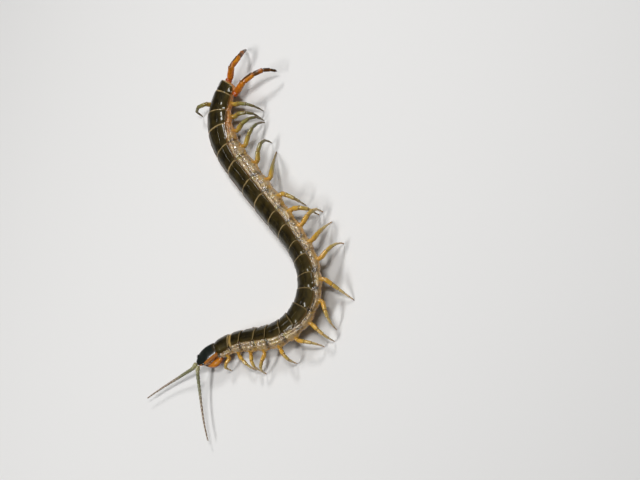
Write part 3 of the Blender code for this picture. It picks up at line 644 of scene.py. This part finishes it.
def leg_joints(number, side):
    """The middle of the socket, the way it faces, and the leg's seven joint points. The links
    are folded by one share of the usual bends; the lift that brings the tip down to the floor
    is found by halving for many folds at once, and the fold that gives the reach between them."""
    tucked = side < 0 and number != STEPPING_LEG
    s = SEGMENT_MIDDLE[number - 1]
    tail, left, up = directions(s)
    aside, drop, level, lower = (0.72, 0.86, 0.46, -0.888) if tucked else (0.93, 0.5, 0.85, -0.53)
    out = side * level * left + lower * up
    root = place(s, side * aside * flank_half(s), -drop * half_height(s)) + COXA_CLEARANCE * out
    base = root + (1.15 if tucked else 0.9) * out
    lengths = LEG_LENGTHS[number - 1] * LINK_SHARES
    folds = np.array([0.22]) if tucked else np.linspace(0.1, 2.4, 900)
    bends = np.cumsum(LINK_BENDS) * folds[:, None]
    low, high = np.full(len(folds), -85.0), np.full(len(folds), 85.0)
    for _ in range(40):
        lift = 0.5 * (low + high)
        rises = np.radians(np.clip(bends + lift[:, None], -86.0, 72.0))
        above = base[2] + (lengths * np.sin(rises)).sum(axis=1) > 0.0
        high = np.where(above, lift, high)
        low = np.where(above, low, lift)
    if tucked:
        inward = np.radians(22.0 * (1.0 - ease((number - 16) / 4.0)))
        ways = aimed(heading(s + np.cumsum(lengths) - 0.5 * lengths) - inward)
        rises = rises[0]
    else:
        swing = np.radians(RIGHT_SWING if side < 0 else LEFT_SWING[number - 1])
        reach = RIGHT_REACH if side < 0 else LEFT_REACH[number - 1]
        level_out = unit(np.array([out[0], out[1], 0.0]))
        ways = np.cos(swing) * level_out - np.sin(swing) * tail
        reached = (lengths * np.cos(rises)).sum(axis=1)
        share = np.interp(-reach, -reached, np.arange(len(folds)))
        rises = rises[int(round(float(share)))]
    steps = lengths[:, None] * (np.cos(rises)[:, None] * ways + np.sin(rises)[:, None] * UP)
    return root, out, chain(base, steps)


def distances(knots):
    """Distances of the points of a chain from its first, along its links."""
    return np.append(0.0, np.cumsum(np.linalg.norm(np.diff(knots, axis=0), axis=1)))


def along_path(knots, spots, window):
    """Points and unit tangents at distances along a chain of straight links whose corners are
    rounded by averaging the chain over a window at each point."""
    ends = distances(knots)
    offsets = np.linspace(-1.0, 1.0, 9)
    weights = 1.0 - 0.8 * offsets ** 2

    def averaged(at):
        """Weighted mean of nine points of the chain round each distance, the middle ones most."""
        spread = at[:, None] + window[:, None] * offsets
        points = np.stack([np.interp(spread, ends, knots[:, axis]) for axis in range(3)], axis=-1)
        return (points * weights[:, None]).sum(axis=1) / weights.sum()

    return averaged(spots), unit(averaged(spots + 0.05) - averaged(spots - 0.05))


def round_rings(middle, tangent, side, half_side, half_up, sides):
    """Ellipses across the tangents, with one axis along the part of side that is across them,
    kept just clear of the floor."""
    across = unit(side - tangent * (tangent * side).sum(axis=-1, keepdims=True))
    over = np.cross(tangent, across)
    turn = circle(sides)
    rings = middle[:, None] + (half_side[:, None] * np.cos(turn))[..., None] * across[:, None]
    rings = rings + (half_up[:, None] * np.sin(turn))[..., None] * over[:, None]
    rings[..., 2] = np.maximum(rings[..., 2], FLOOR_GAP)
    return rings


def leg_stations(knots, socket_t, socket_form, fullness, taper, claw_rings, claw_root, claw_fall):
    """Stations along a leg: its socket, five articles that each swell from a narrow neck to a
    wide end, and a claw that thins as the 1.2th power of the way. Gives their distances along
    the knots, their radii as shares of the leg's, and stages that count the joints passed."""
    ends = distances(knots)
    lengths = np.diff(ends)
    k = np.arange(1, 6)[:, None]
    claw = np.linspace(0.0, 1.0, claw_rings)
    spots = (socket_t * ends[1], ends[k] + ARTICLE_T * lengths[k],
             ends[6] + claw * (lengths[6] - 0.04))
    forms = (socket_form, fullness[:, None] * (1.0 - taper * ARTICLE_T) * ARTICLE_FORM,
             claw_root - claw_fall * claw ** 1.2)
    stages = socket_t, k + ARTICLE_T, 6.0 + claw
    return (np.concatenate([part.ravel() for part in each]) for each in (spots, forms, stages))


def walking_leg(number, side):
    """One leg from inside its socket to the tip, its joint points, the level way across it and
    its radius."""
    root, out, joints = leg_joints(number, side)
    radius = 0.5 * (1.25 + 0.4 * ease((number - 1) / 14.0))
    knots = np.concatenate([[root - 1.25 * out], joints])
    spots, forms, stage = leg_stations(knots, COXA_T, COXA_FORM, LINK_FULLNESS, taper=0.14,
                                       claw_rings=9, claw_root=0.24, claw_fall=0.2)
    radii = radius * forms
    middle, tangent = along_path(knots, spots, np.minimum(0.75 * radii, 0.5))
    flat = unit(np.cross(UP, joints[-1] - joints[0]))
    rings = round_rings(middle, tangent, flat, 0.94 * radii, 1.04 * radii, 18)
    return tube(rings, triples(0.0, stage[:, None], number / SEGMENTS)), joints, flat, radius


def spine(middle, way, length, width):
    """A straight thorn: a cone whose radius falls as the 0.8th power of the length left."""
    t = np.array([-0.15, 0.1, 0.35, 0.6, 0.8, 0.93, 1.0])
    ways = np.tile(unit(way), (len(t), 1))
    radii = width * (1.02 - t) ** 0.8
    helper = np.array([0.3, 0.2, 0.93])
    return tube(round_rings(middle + (length * t)[:, None] * ways, ways, helper, radii, radii, 9))


def leg_colours(along, stops):
    """Colour along a leg: a ramp over its articles, from the socket at 0 to the claw at 7. Each
    stop is its place and a colour or one grey."""
    ramp = node(along.id_data, "ShaderNodeValToRGB", {0: maths("DIVIDE", along, 7.0)})
    bar = ramp.color_ramp.elements
    while len(bar) < len(stops):
        bar.new(0.5)
    for element, (spot_at, *shade) in zip(bar, stops):
        element.position = spot_at / 7.0
        element.color = (*(shade if len(shade) == 3 else 3 * shade), 1.0)
    return ramp.outputs[0]


leg_horn, shader, spot, mottle = finish(
    "leg_horn", grain=4200.0, patch=1100.0, bump=0.012, Roughness=0.32, Specular_IOR_Level=0.25,
    Coat_Weight=0.6, Coat_Roughness=0.12, Subsurface_Weight=0.15, Subsurface_Scale=0.0008)
stage_mark, leg_mark = spot[1], spot[2]
front_legs = leg_colours(stage_mark, (
    (0.2, 0.5, 0.25, 0.028), (1.6, 0.6, 0.33, 0.035), (2.5, 0.48, 0.32, 0.07),
    (3.4, 0.6, 0.44, 0.17), (4.6, 0.62, 0.46, 0.25), (5.9, 0.48, 0.28, 0.12),
    (6.2, 0.12, 0.025, 0.01)))
rear_legs = leg_colours(stage_mark, (
    (0.2, 0.48, 0.22, 0.03), (1.3, 0.44, 0.28, 0.035), (2.1, 0.26, 0.205, 0.04),
    (3.0, 0.15, 0.14, 0.05), (4.4, 0.115, 0.09, 0.035), (5.9, 0.16, 0.11, 0.045),
    (6.2, 0.07, 0.02, 0.01)))
article_end = rise(maths("FRACT", stage_mark), 0.86, 0.95, 0.55)
paint(shader, tint(rise(leg_mark, 0.58, 0.8), front_legs, rear_legs),
      (times(mottle, 0.25), (0.16, 0.1, 0.03)),
      (times(article_end, rise(stage_mark, 1.2, 1.6)), (0.13, 0.06, 0.014)))
spurs = []
for number in range(1, SEGMENTS):
    for side, word in SIDES:
        leg, joints, flat, radius = walking_leg(number, side)
        piece("%s_leg_%02d" % (word, number), [leg], leg_horn,
              ["leg_%s_%02d" % (word, number)])
        shin, foot = unit(joints[4] - joints[3]), unit(joints[6] - joints[5])
        under = unit(np.cross(flat, shin))
        under = under * (-1.0 if under[2] > 0.0 else 1.0)
        spurs.append(spine(joints[4] + 0.4 * radius * under, 0.7 * under + shin, 0.42, 0.09))
        spurs.append(spine(joints[5] + 0.12 * under, 0.5 * under + foot, 0.3, 0.06))
spur_horn, shader, spot, mottle = finish(
    "spur_horn", grain=4200.0, patch=1100.0, bump=0.008, Roughness=0.28, Coat_Weight=0.4)
paint(shader, tint(mottle, (0.05, 0.018, 0.006), (0.1, 0.035, 0.01)))
piece("leg_spurs", spurs, spur_horn)


# ---- Last legs: the long thick pair that trails from the tail, amber with dark brown bands.
# The thigh carries rows of short thorns on its inner side, and its root is an orange-red cheek
# beside the last plate.
LAST_RADIUS = 1.25
LAST_LINK_LENGTHS = np.array([5.4, 4.8, 3.9, 2.7, 2.1, 0.8])
LAST_LINK_FULLNESS = np.array([1.0, 0.9, 0.76, 0.58, 0.42])
LAST_SOCKET_T = np.linspace(0.0, 0.97, 7)
LAST_SOCKET_FORM = np.array([0.8, 0.98, 1.04, 1.02, 0.96, 0.88, 0.78])
# Each leg's root, before the tail's end and to the left, and its links' headings and rises
LAST_POSES = (("left", (3.0, 5.15), (-59, -61, -67, -77, -85, -90), (28, 2, -12, -36, -52, -52)),
              ("right", (-0.8, -1.7), (-42, -20, 4, 19, 30, 36), (42, -21, -37, -50, -50, -50)))
# Rows of thorns on the thigh: their angle from its inner side, and their places along it
THORN_ROWS = ((0.0, (0.3, 0.52, 0.74)), (45.0, (0.24, 0.48, 0.9)), (-50.0, (0.36, 0.6, 0.8)))


def last_leg(root_at, headings, rises):
    """One trailing leg, its joint points and the level way across it, with articles formed as a
    walking leg's."""
    root = place(TAIL_S - root_at[0], root_at[1], -0.3)
    turns, lifts = np.radians(headings), np.radians(rises)
    first = aimed(turns[0])
    base = root + 1.08 * first
    joints = chain(base, LAST_LINK_LENGTHS[:, None] * aimed(turns, lifts))
    knots = np.concatenate([[base - 1.6 * first - 0.25 * UP], joints])
    spots, forms, stage = leg_stations(
        knots, LAST_SOCKET_T, LAST_SOCKET_FORM, LAST_LINK_FULLNESS, taper=0.08,
        claw_rings=10, claw_root=0.3, claw_fall=0.26)
    radii = LAST_RADIUS * forms
    middle, tangent = along_path(knots, spots, np.minimum(0.7 * radii, 0.8))
    flat = aimed(np.radians(np.mean(headings) + 90.0))
    rings = round_rings(middle, tangent, flat, 1.03 * radii, 0.97 * radii, 26)
    turn = circle(26)
    return tube(rings, triples(np.sin(turn), stage[:, None], np.cos(turn))), joints, flat


amber_horn, shader, spot, mottle = finish(
    "amber_horn", grain=3600.0, patch=700.0, bump=0.012, Roughness=0.34, Specular_IOR_Level=0.12,
    Coat_Weight=0.6, Coat_Roughness=0.2, Subsurface_Weight=0.1, Subsurface_Scale=0.001)
upper_mark, stage_mark, side_mark = spot
amber = leg_colours(stage_mark, (
    (0.1, 0.32, 0.05, 0.003), (0.9, 0.4, 0.075, 0.003), (1.3, 0.52, 0.15, 0.004),
    (2.8, 0.6, 0.22, 0.007), (3.6, 0.42, 0.13, 0.008), (5.0, 0.24, 0.11, 0.022),
    (6.2, 0.05, 0.015, 0.005)))
shadowed = leg_colours(stage_mark, (
    (1.6, 0.0), (2.05, 0.8), (2.9, 0.95), (3.02, 0.35), (3.15, 0.95), (3.55, 0.85),
    (3.68, 0.1), (3.97, 0.15), (4.1, 0.95), (4.85, 0.9), (4.97, 0.25), (5.12, 0.95)))
leaning = maths("ADD", times(upper_mark, 0.6), times(side_mark, 0.8))
striped = rise(maths("ADD", leaning, times(mottle, 0.3)), 0.25, 0.7)
striped = maths("MAXIMUM", striped, rise(stage_mark, 2.9, 3.1, 0.85))
paint(shader, amber,
      (rise(mottle, 0.15, 0.85, 0.0, start=0.55), (0.26, 0.05, 0.002)),
      (times(shadowed, striped), (0.028, 0.013, 0.003)))
thorns = []
for word, root_at, headings, rises in LAST_POSES:
    leg, joints, flat = last_leg(root_at, headings, rises)
    piece("last_leg_" + word, [leg], amber_horn, ["leg_%s_21" % word])
    thigh_way = (joints[1] - joints[0]) / LAST_LINK_LENGTHS[0]
    inner = flat * (1.0 if word == "left" else -1.0)
    over = np.cross(thigh_way, flat)
    for angle, shares in THORN_ROWS:
        ray = np.cos(np.radians(angle)) * inner + np.sin(np.radians(angle)) * over
        for share in shares:
            foot = joints[0] + share * LAST_LINK_LENGTHS[0] * thigh_way + 1.18 * ray
            thorns.append(spine(foot, ray + 0.6 * thigh_way, 0.42, 0.13))
piece("last_leg_thorns", thorns, spur_horn)


# ---- Head: a glossy green-black shield over a rounded capsule, as one hard piece.
# The shield is finely pitted, thickened at its rim, and overlaps the first back plate.
SHIELD_HALF_WIDTH = 3.15
SHIELD_LEFT, SHIELD_RIGHT = 0.95, 0.86
SHIELD_TOP = 2.3
NOSE_END = 0.52
HEAD_TURN = -0.1
# Round the head's section, from the middle of the top at 0 past the rim at 1 to the middle below
# at 2: share of the half width, of the height over the rim, and of the depth under it
HEAD_FORM = (
    (0.0, 0.0, 1.0, 0.0), (0.3, 0.34, 0.975, 0.0), (0.58, 0.65, 0.865, 0.0),
    (0.8, 0.875, 0.62, 0.0), (0.93, 0.975, 0.3, 0.0), (1.0, 1.005, 0.04, 0.0),
    (1.06, 0.985, -0.05, 0.02), (1.16, 0.965, 0.0, 0.35), (1.34, 0.93, 0.0, 0.9),
    (1.62, 0.76, 0.0, 1.4), (2.0, 0.0, 0.0, 1.45))


def place_head(s, w, v):
    """Points on the head, which is turned a little to its right at the neck."""
    return place(s, np.asarray(w, float) + HEAD_TURN * (HEAD_LENGTH - np.asarray(s, float)), v)


def head_section(t, around):
    """Section of the head: a dome from the middle line to the rim, a lip, and a flat underside.
    around runs from 0 on top over the left side to 2 at the middle below, and on to 4."""
    side = np.where(around > 2.0, -1.0, 1.0)
    a = np.where(around > 2.0, 4.0 - around, around)
    front = np.clip(1.0 - np.abs(1.0 - np.minimum(t, NOSE_END) / NOSE_END) ** 2.2, 0.0, 1.0) ** 0.5
    half = SHIELD_HALF_WIDTH * front * (1.0 - 0.1 * ease((t - 0.6) / 0.4))
    half = half * (1.0 - 0.16 * ease((t - 0.95) / 0.05))
    half = half * np.where(side > 0.0, SHIELD_LEFT, SHIELD_RIGHT)
    top = SHIELD_TOP - 1.35 * (1.0 - ease(t / 0.62))
    under = 0.1 - 0.25 * ease((t - 0.3) / 0.5)
    rim = under + 0.42 * (top - under)
    nose = ease(t / 0.05)
    wide, dome, below = read_table(HEAD_FORM, a)
    w = half * wide
    v = rim + (top - rim) * dome - (rim - under) * below
    middle = 0.5 * (top + under) - 0.15
    v = middle + (v - middle) * (0.35 + 0.65 * nose)
    groove = bell((w / half.clip(0.2)) / 0.03) * ease((0.55 - t) / 0.2)
    v = v - 0.035 * groove * (a < 1.0)
    v = v + 0.02 * ripple(9.9 * t, 1.2 * w * side + 5.0, 71) * (a < 0.95) * nose
    return side * w, v, a


nose_t = NOSE_END * (1.0 - np.cos(np.linspace(0.03, 0.5, 34) * np.pi)) ** 1.3
head_t = np.concatenate([nose_t, np.linspace(0.54, 0.94, 26),
                         (0.955, 0.967, 0.977, 0.985, 0.992, 0.997, 1.0)])
half_around = evenly((0.0, 0.9, 0.93, 1.2, 1.26, 2.0), (25, 1, 12, 1, 12))
around_head = np.append(half_around, 4.0 - half_around[-2:0:-1])
grid_t, grid_a = np.meshgrid(head_t, around_head, indexing="ij")
w, v, a = head_section(grid_t, grid_a)
v = v - 0.3 * rounded_end(grid_t) * (v + 0.2)
corners = ease((np.abs(w) / 3.0 - 0.4) / 0.6) * grid_t ** 3
s = 0.15 + grid_t * (HEAD_LENGTH + 0.05) - 0.35 * corners
marks = triples(0.0, grid_t, a + 0.23 * ease(w / 1.6))
head_horn, shader, spot, mottle = finish(
    "head_horn", grain=4200.0, patch=500.0, bump=0.012, Roughness=0.34, Specular_IOR_Level=0.35,
    Coat_Weight=0.5, Coat_Roughness=0.05)
paint(shader, tint(mottle, (0.0025, 0.0045, 0.0025), (0.007, 0.01, 0.005)),
      (rise(spot[1], 0.82, 1.0, 0.75), (0.05, 0.03, 0.009)),
      (rise(spot[2], 0.92, 1.02), (0.42, 0.145, 0.016)))
piece("head_shield", [tube(place_head(s, w, v), marks)], head_horn, ["head"])


# ---- Eyes: four small glassy domes in a tight group on each side of the head.
# Each sits in a low dark socket let into the shield behind the antenna.
EYE_S = 2.1
# The four domes of a group: forward and above its middle, and their radius
EYE_DOMES = ((-0.3, 0.02, 0.21), (0.02, 0.22, 0.2), (0.06, -0.2, 0.21), (0.36, 0.03, 0.19))


def eye_group(side):
    """A low oval cushion and four half-sunk balls of different sizes on it."""
    tail, left, up = directions(EYE_S)
    middle = place_head(EYE_S, 2.3 if side > 0 else -2.09, 0.98)
    out = unit(0.82 * side * left + 0.46 * up - 0.34 * tail)
    along = unit(tail - out * np.dot(out, tail))
    over = np.cross(out, along) * side
    turn = circle(20)[:, None]
    tilt = np.linspace(0.04, np.pi - 0.04, 12)[:, None, None]

    def ball(spot_at, sizes, kind):
        """An ellipsoid round a point, with its half axes along, over and out of the head."""
        level = np.cos(turn) * along * sizes[0] + np.sin(turn) * over * sizes[1]
        rings = spot_at + np.sin(tilt) * level + np.cos(tilt) * out * sizes[2]
        return tube(rings, (kind, 0.0, 0.0))

    cushion = ball(middle - 0.06 * out, (0.66, 0.46, 0.3), 0.0)
    return [cushion] + [ball(middle + forward * along + above * over + 0.1 * out, (size,) * 3, 1.0)
                        for forward, above, size in EYE_DOMES]


eye_horn, shader, spot, mottle = finish(
    "eye_lens", grain=4200.0, patch=900.0, bump=0.002, Roughness=0.08, Coat_Weight=0.9,
    Coat_Roughness=0.02)
paint(shader, tint(spot[0], (0.012, 0.01, 0.006), (0.018, 0.013, 0.01)))
for side, word in SIDES:
    piece("eyes_" + word, eye_group(side), eye_horn, ["ocelli_" + word])


# ---- Antennae: two whips of eighteen short articles, from the front corners of the head.
# The first six are smooth, olive and glossy; the rest are dull with fine down, ringed pale.
ANTENNA_ARTICLES = 18
ANTENNA_S = 0.1
ANTENNA_T = np.array([0.0, 0.06, 0.18, 0.38, 0.62, 0.8, 0.91, 0.97])
ANTENNA_FORM = np.array([0.78, 0.86, 0.94, 1.0, 1.05, 1.08, 1.03, 0.86])


def antenna(side, length, turns):
    """One antenna: its heading and fall change smoothly from root to tip, and every article is
    narrow at its root and widest near its end."""
    tail = directions(ANTENNA_S)[0]
    root = place_head(ANTENNA_S, side * 0.7, 0.62)
    forward = np.arctan2(-tail[1], -tail[0])
    steps = 2 * ANTENNA_ARTICLES
    share = (np.arange(steps) + 0.5) / steps
    turn = turns[1] + (turns[2] - turns[1]) * share
    turn = forward + np.radians(turn + (turns[0] - turns[1]) * (1.0 - ease(share / 0.12)))
    drop = np.radians(-16.0 + 14.0 * ease(share * 1.4))
    path = chain(root, length / steps * aimed(turn, drop))
    first = aimed(turn[0], drop[0])
    path = np.concatenate([[path[0] - 0.45 * first], path + 0.53 * first])
    ends = distances(path)
    along = ((np.arange(ANTENNA_ARTICLES)[:, None] + ANTENNA_T) / ANTENNA_ARTICLES).ravel()
    radii = 0.54 * (1.35 - 0.95 * along ** 0.8) * np.tile(ANTENNA_FORM, ANTENNA_ARTICLES)
    radii = radii * (1.0 + 0.12 * (1.0 - ease(along / 0.1)))
    radii[-3:] = radii[-3:] * np.array([0.9, 0.7, 0.35])
    spots = ends[1] + along * (ends[-1] - ends[1]) - 0.4 * (1.0 - ease(along / 0.05))
    middle, tangent = along_path(path, spots, np.full(len(spots), 0.35))
    across = aimed(forward + 0.5 * np.pi)
    rings = round_rings(middle, tangent, across, radii, radii, 14)
    return tube(rings, triples(0.0, ANTENNA_ARTICLES * along, along)[:, None])


antenna_horn, shader, spot, mottle = finish(
    "antenna_horn", grain=5200.0, patch=1500.0, bump=0.008, Roughness=0.33, Coat_Weight=0.35,
    Coat_Roughness=0.1)
ringed = rise(maths("FRACT", spot[1]), 0.62, 0.86, 0.75)
paint(shader, tint(rise(spot[2], 0.04, 0.12), (0.3, 0.27, 0.12), (0.145, 0.14, 0.055)),
      (rise(spot[2], 0.28, 0.55), (0.2, 0.135, 0.085)),
      (times(ringed, rise(spot[2], 0.15, 0.45)), (0.5, 0.42, 0.31)))
for side, word, length, turns in ((1, "left", 26.1, (30.0, 44.0, 65.0)),
                                  (-1, "right", 24.8, (6.0, -29.0, -16.0))):
    piece("antenna_%s_whip" % word, [antenna(side, length, turns)], antenna_horn,
          ["antenna_" + word])


# ---- Poison claws: a broad amber plate under the head that carries a pair of curved pincers.
# Plate and pincers are thick polished horn with painted shade that turns their lower side dark
# red-brown, and near-black points and teeth.
# The plate's stations are distance, half width, top and underside; the pincers' are distance,
# place to the side, height and radius, from the root to the tip.
CLAW_PLATE = ((4.6, 0.8, -1.15, -2.0), (5.2, 1.2, -0.95, -2.5), (7.3, 1.4, -0.75, -2.85),
              (7.65, 3.4, -0.7, -2.9), (8.4, 3.85, -0.64, -2.95), (9.1, 3.6, -0.6, -2.75))
CLAWS = ((8.0, 2.9, -1.75, 1.02), (7.25, 3.15, -1.8, 1.22), (6.4, 3.28, -1.82, 1.34),
         (5.45, 3.27, -1.86, 1.33), (4.5, 3.05, -1.94, 1.18), (3.6, 2.66, -2.06, 0.96),
         (2.75, 2.15, -2.2, 0.72), (2.05, 1.58, -2.3, 0.48), (1.55, 1.05, -2.38, 0.28),
         (1.3, 0.52, -2.42, 0.1))
CLAW_JOINTS = ((4.45, 0.09), (5.45, 0.1))
TOOTH_PLACES = (-0.72, -0.52, -0.32, -0.14, 0.14, 0.32, 0.52, 0.72)


def claw_plate():
    """Rounded-square sections through the plate's stations, with a furrow along the middle."""
    s = evenly((4.6, 7.2, 7.25, 7.8, 7.9, 9.1), (19, 1, 13, 1, 13))
    half, top, under = read_table(CLAW_PLATE, s)[..., None]
    turn = circle(56) + np.pi / 56
    level = np.abs(np.sin(turn)) ** 0.65 * np.sign(np.sin(turn))
    w = np.maximum(half, 0.6) * np.abs(np.cos(turn)) ** 0.65 * np.sign(np.cos(turn))
    v = 0.5 * (top + under) + 0.5 * (top - under) * level
    v = v + 0.12 * bell(w / 0.1) * (level < 0.0)
    return tube(place_head(s[:, None], w, v), triples(0.0, level, 0.0))


def poison_claw(side):
    """One pincer along its curved path, flattened a little, with a groove at each joint."""
    k = evenly((0.0, 8.0, 8.1, 9.0), (65, 1, 11))
    s, w, v, radius = smooth_through(np.arange(len(CLAWS)), CLAWS, k).T
    for joint_at, deep in CLAW_JOINTS:
        radius = radius * (1.0 - deep * bell((k - joint_at) / 0.09))
    radius[:3] = radius[:3] * np.array([0.55, 0.85, 0.97])
    path = place_head(s, side * w, v)
    tangent = unit(np.gradient(path, axis=0))
    rings = round_rings(path, tangent, directions(4.5)[2], 0.88 * radius, radius, 32)
    return tube(rings, triples(0.0, np.cos(circle(32)), k[:, None] / 9.0))


claw_horn, shader, spot, mottle = finish(
    "claw_horn", grain=3400.0, patch=700.0, bump=0.01, Roughness=0.28, Specular_IOR_Level=0.15,
    Coat_Weight=0.5, Coat_Roughness=0.1, Subsurface_Weight=0.1, Subsurface_Scale=0.001)
paint(shader, tint(mottle, (0.44, 0.13, 0.006), (0.58, 0.22, 0.018)),
      # painted shade: the lower side of the plate and pincers darkens to red-brown
      (rise(spot[1], 0.6, -0.3, 0.95), (0.17, 0.018, 0.003)),
      (rise(spot[2], 0.6, 0.86), (0.012, 0.006, 0.004)))
piece("claw_carrier", [claw_plate()], claw_horn, ["claw_plate"])
for side, word in SIDES:
    piece("pincer_" + word, [poison_claw(side)], claw_horn, ["forcipule_" + word])
teeth = [spine(place_head(4.62, w_at, -1.55), -directions(4.5)[0], 0.36, 0.12)
         for w_at in TOOTH_PLACES]
piece("tooth_plates", teeth, spur_horn)


# ---- Mouthparts: pale jaws and palps between the head and the pincers.
# A rounded lip closes the mouth from below, and two jointed palps curl in from the sides.
# The lip's stations are distance, half width and half depth.
LIP = ((1.05, 0.45, 0.18), (1.3, 0.95, 0.34), (1.9, 1.35, 0.44), (2.8, 1.5, 0.46),
       (3.6, 1.25, 0.36))


def mouth_lip():
    """Oval sections through five stations, with a furrow along the middle."""
    s = evenly((1.05, 1.4, 1.5, 3.6), (6, 1, 15))
    half, deep = read_table(LIP, s)[..., None]
    turn = circle(36)
    w = half * np.cos(turn)
    v = -0.72 + deep * np.sin(turn) + 0.1 * bell(w / 0.12) * (np.sin(turn) < 0.0)
    return tube(place_head(s[:, None], w, v))


def palp(side):
    """A short curled arm of three articles beside the lip."""
    t = np.linspace(0.0, 1.0, 40)
    path = place_head(4.3 - 3.3 * t + 0.2 * np.sin(np.pi * t), side * (2.25 - 1.35 * t ** 2.2),
                      -0.62 - 0.25 * t)
    joints = 1.0 - 0.14 * bell((t - 0.36) / 0.03) - 0.14 * bell((t - 0.68) / 0.03)
    tip = np.clip(1.0 - ((t - 0.8) / 0.205).clip(0.0) ** 2, 0.02, 1.0) ** 0.5
    radius = 0.4 * (1.0 - 0.35 * t) * joints * tip
    tangent = unit(np.gradient(path, axis=0))
    return tube(round_rings(path, tangent, directions(3.0)[2], radius, radius, 16))


mouth_horn, shader, spot, mottle = finish(
    "mouth_horn", grain=3600.0, patch=900.0, bump=0.015, Roughness=0.34, Coat_Weight=0.3,
    Coat_Roughness=0.1, Subsurface_Weight=0.15, Subsurface_Scale=0.001)
paint(shader, tint(mottle, (0.4, 0.24, 0.1), (0.6, 0.42, 0.24)))
piece("mouth", [mouth_lip(), palp(1), palp(-1)], mouth_horn, ["mouthparts"])


# ---- Floor, light and camera: a plain pale floor under soft studio light.
# A large soft light hangs over the scene, three small bright ones give the gloss along the back,
# and a pale room fills in the shade.
FLOOR_HALF = 2.0
floor_mesh = bpy.data.meshes.new("floor")
floor_mesh.from_pydata([(x * FLOOR_HALF, y * FLOOR_HALF, 0.0)
                        for x, y in ((-1, -1), (1, -1), (1, 1), (-1, 1))], [], [(0, 1, 2, 3)])
floor = bpy.data.objects.new("floor", floor_mesh)
bpy.context.scene.collection.objects.link(floor)
floor_paint = bpy.data.materials.new("floor_paint")
floor_paint.use_nodes = True
floor_shader = floor_paint.node_tree.nodes["Principled BSDF"]
floor_shader.inputs["Base Color"].default_value = (0.7, 0.68, 0.65, 1.0)
floor_shader.inputs["Roughness"].default_value = 0.7
floor_mesh.materials.append(floor_paint)

world = bpy.data.worlds.new("pale_room")
world.use_nodes = True
room = world.node_tree.nodes["Background"].inputs
room["Color"].default_value = (0.9, 0.94, 1.0, 1.0)
room["Strength"].default_value = 0.08
bpy.context.scene.world = world


def set_facing(made, right, back, at):
    """Puts an object at a point, with its right and its back along two unit vectors."""
    matrix = np.eye(4)
    matrix[:3] = np.stack([right, np.cross(back, right), back, at], axis=1)
    made.matrix_world = matrix.T.tolist()
    bpy.context.scene.collection.objects.link(made)


def lamp(name, way, distance, size, power, colour):
    """An oblong area light at a distance along a direction from the object, facing it."""
    light = bpy.data.lights.new(name, "AREA")
    light.shape = "RECTANGLE"
    light.size, light.size_y = size
    light.energy = power
    light.color = colour
    way = unit(np.array(way))
    right = unit(np.cross(np.array([0.0, 1.0, 0.0]), way))
    set_facing(bpy.data.objects.new(name, light), right, way, way * distance)


COOL = (0.95, 0.97, 1.0)
lamp("soft_overhead", (0.0, 0.3, 0.95), 1.0, (1.0, 1.0), 0.6, (1.0, 0.97, 0.94))
lamp("key", (0.08, -0.32, 0.94), 0.5, (0.055, 0.16), 1.0, COOL)
lamp("rear_light", (0.63, 0.1, 0.77), 0.5, (0.1, 0.08), 0.9, COOL)
lamp("front_light", (-0.38, 0.35, 0.86), 0.5, (0.25, 0.055), 1.25, COOL)

VIEW_TARGET = np.array([-4.255, -24.4, 0.0]) * MM
VIEW_BACK = unit(np.array([-0.2796, -0.484, 0.829]))
VIEW_RIGHT = np.array([0.074, -0.872, -0.484])
VIEW_DISTANCE = 0.3955
camera_data = bpy.data.cameras.new("camera")
camera_data.sensor_width = 36.0
camera_data.lens = 64.69
camera_data.clip_start = 0.01
camera = bpy.data.objects.new("camera", camera_data)
set_facing(camera, unit(VIEW_RIGHT - VIEW_BACK * np.dot(VIEW_RIGHT, VIEW_BACK)), VIEW_BACK,
           VIEW_TARGET + VIEW_BACK * VIEW_DISTANCE)
bpy.context.scene.camera = camera
bpy.context.scene.view_settings.view_transform = "Standard"

bpy.context.view_layer.update()
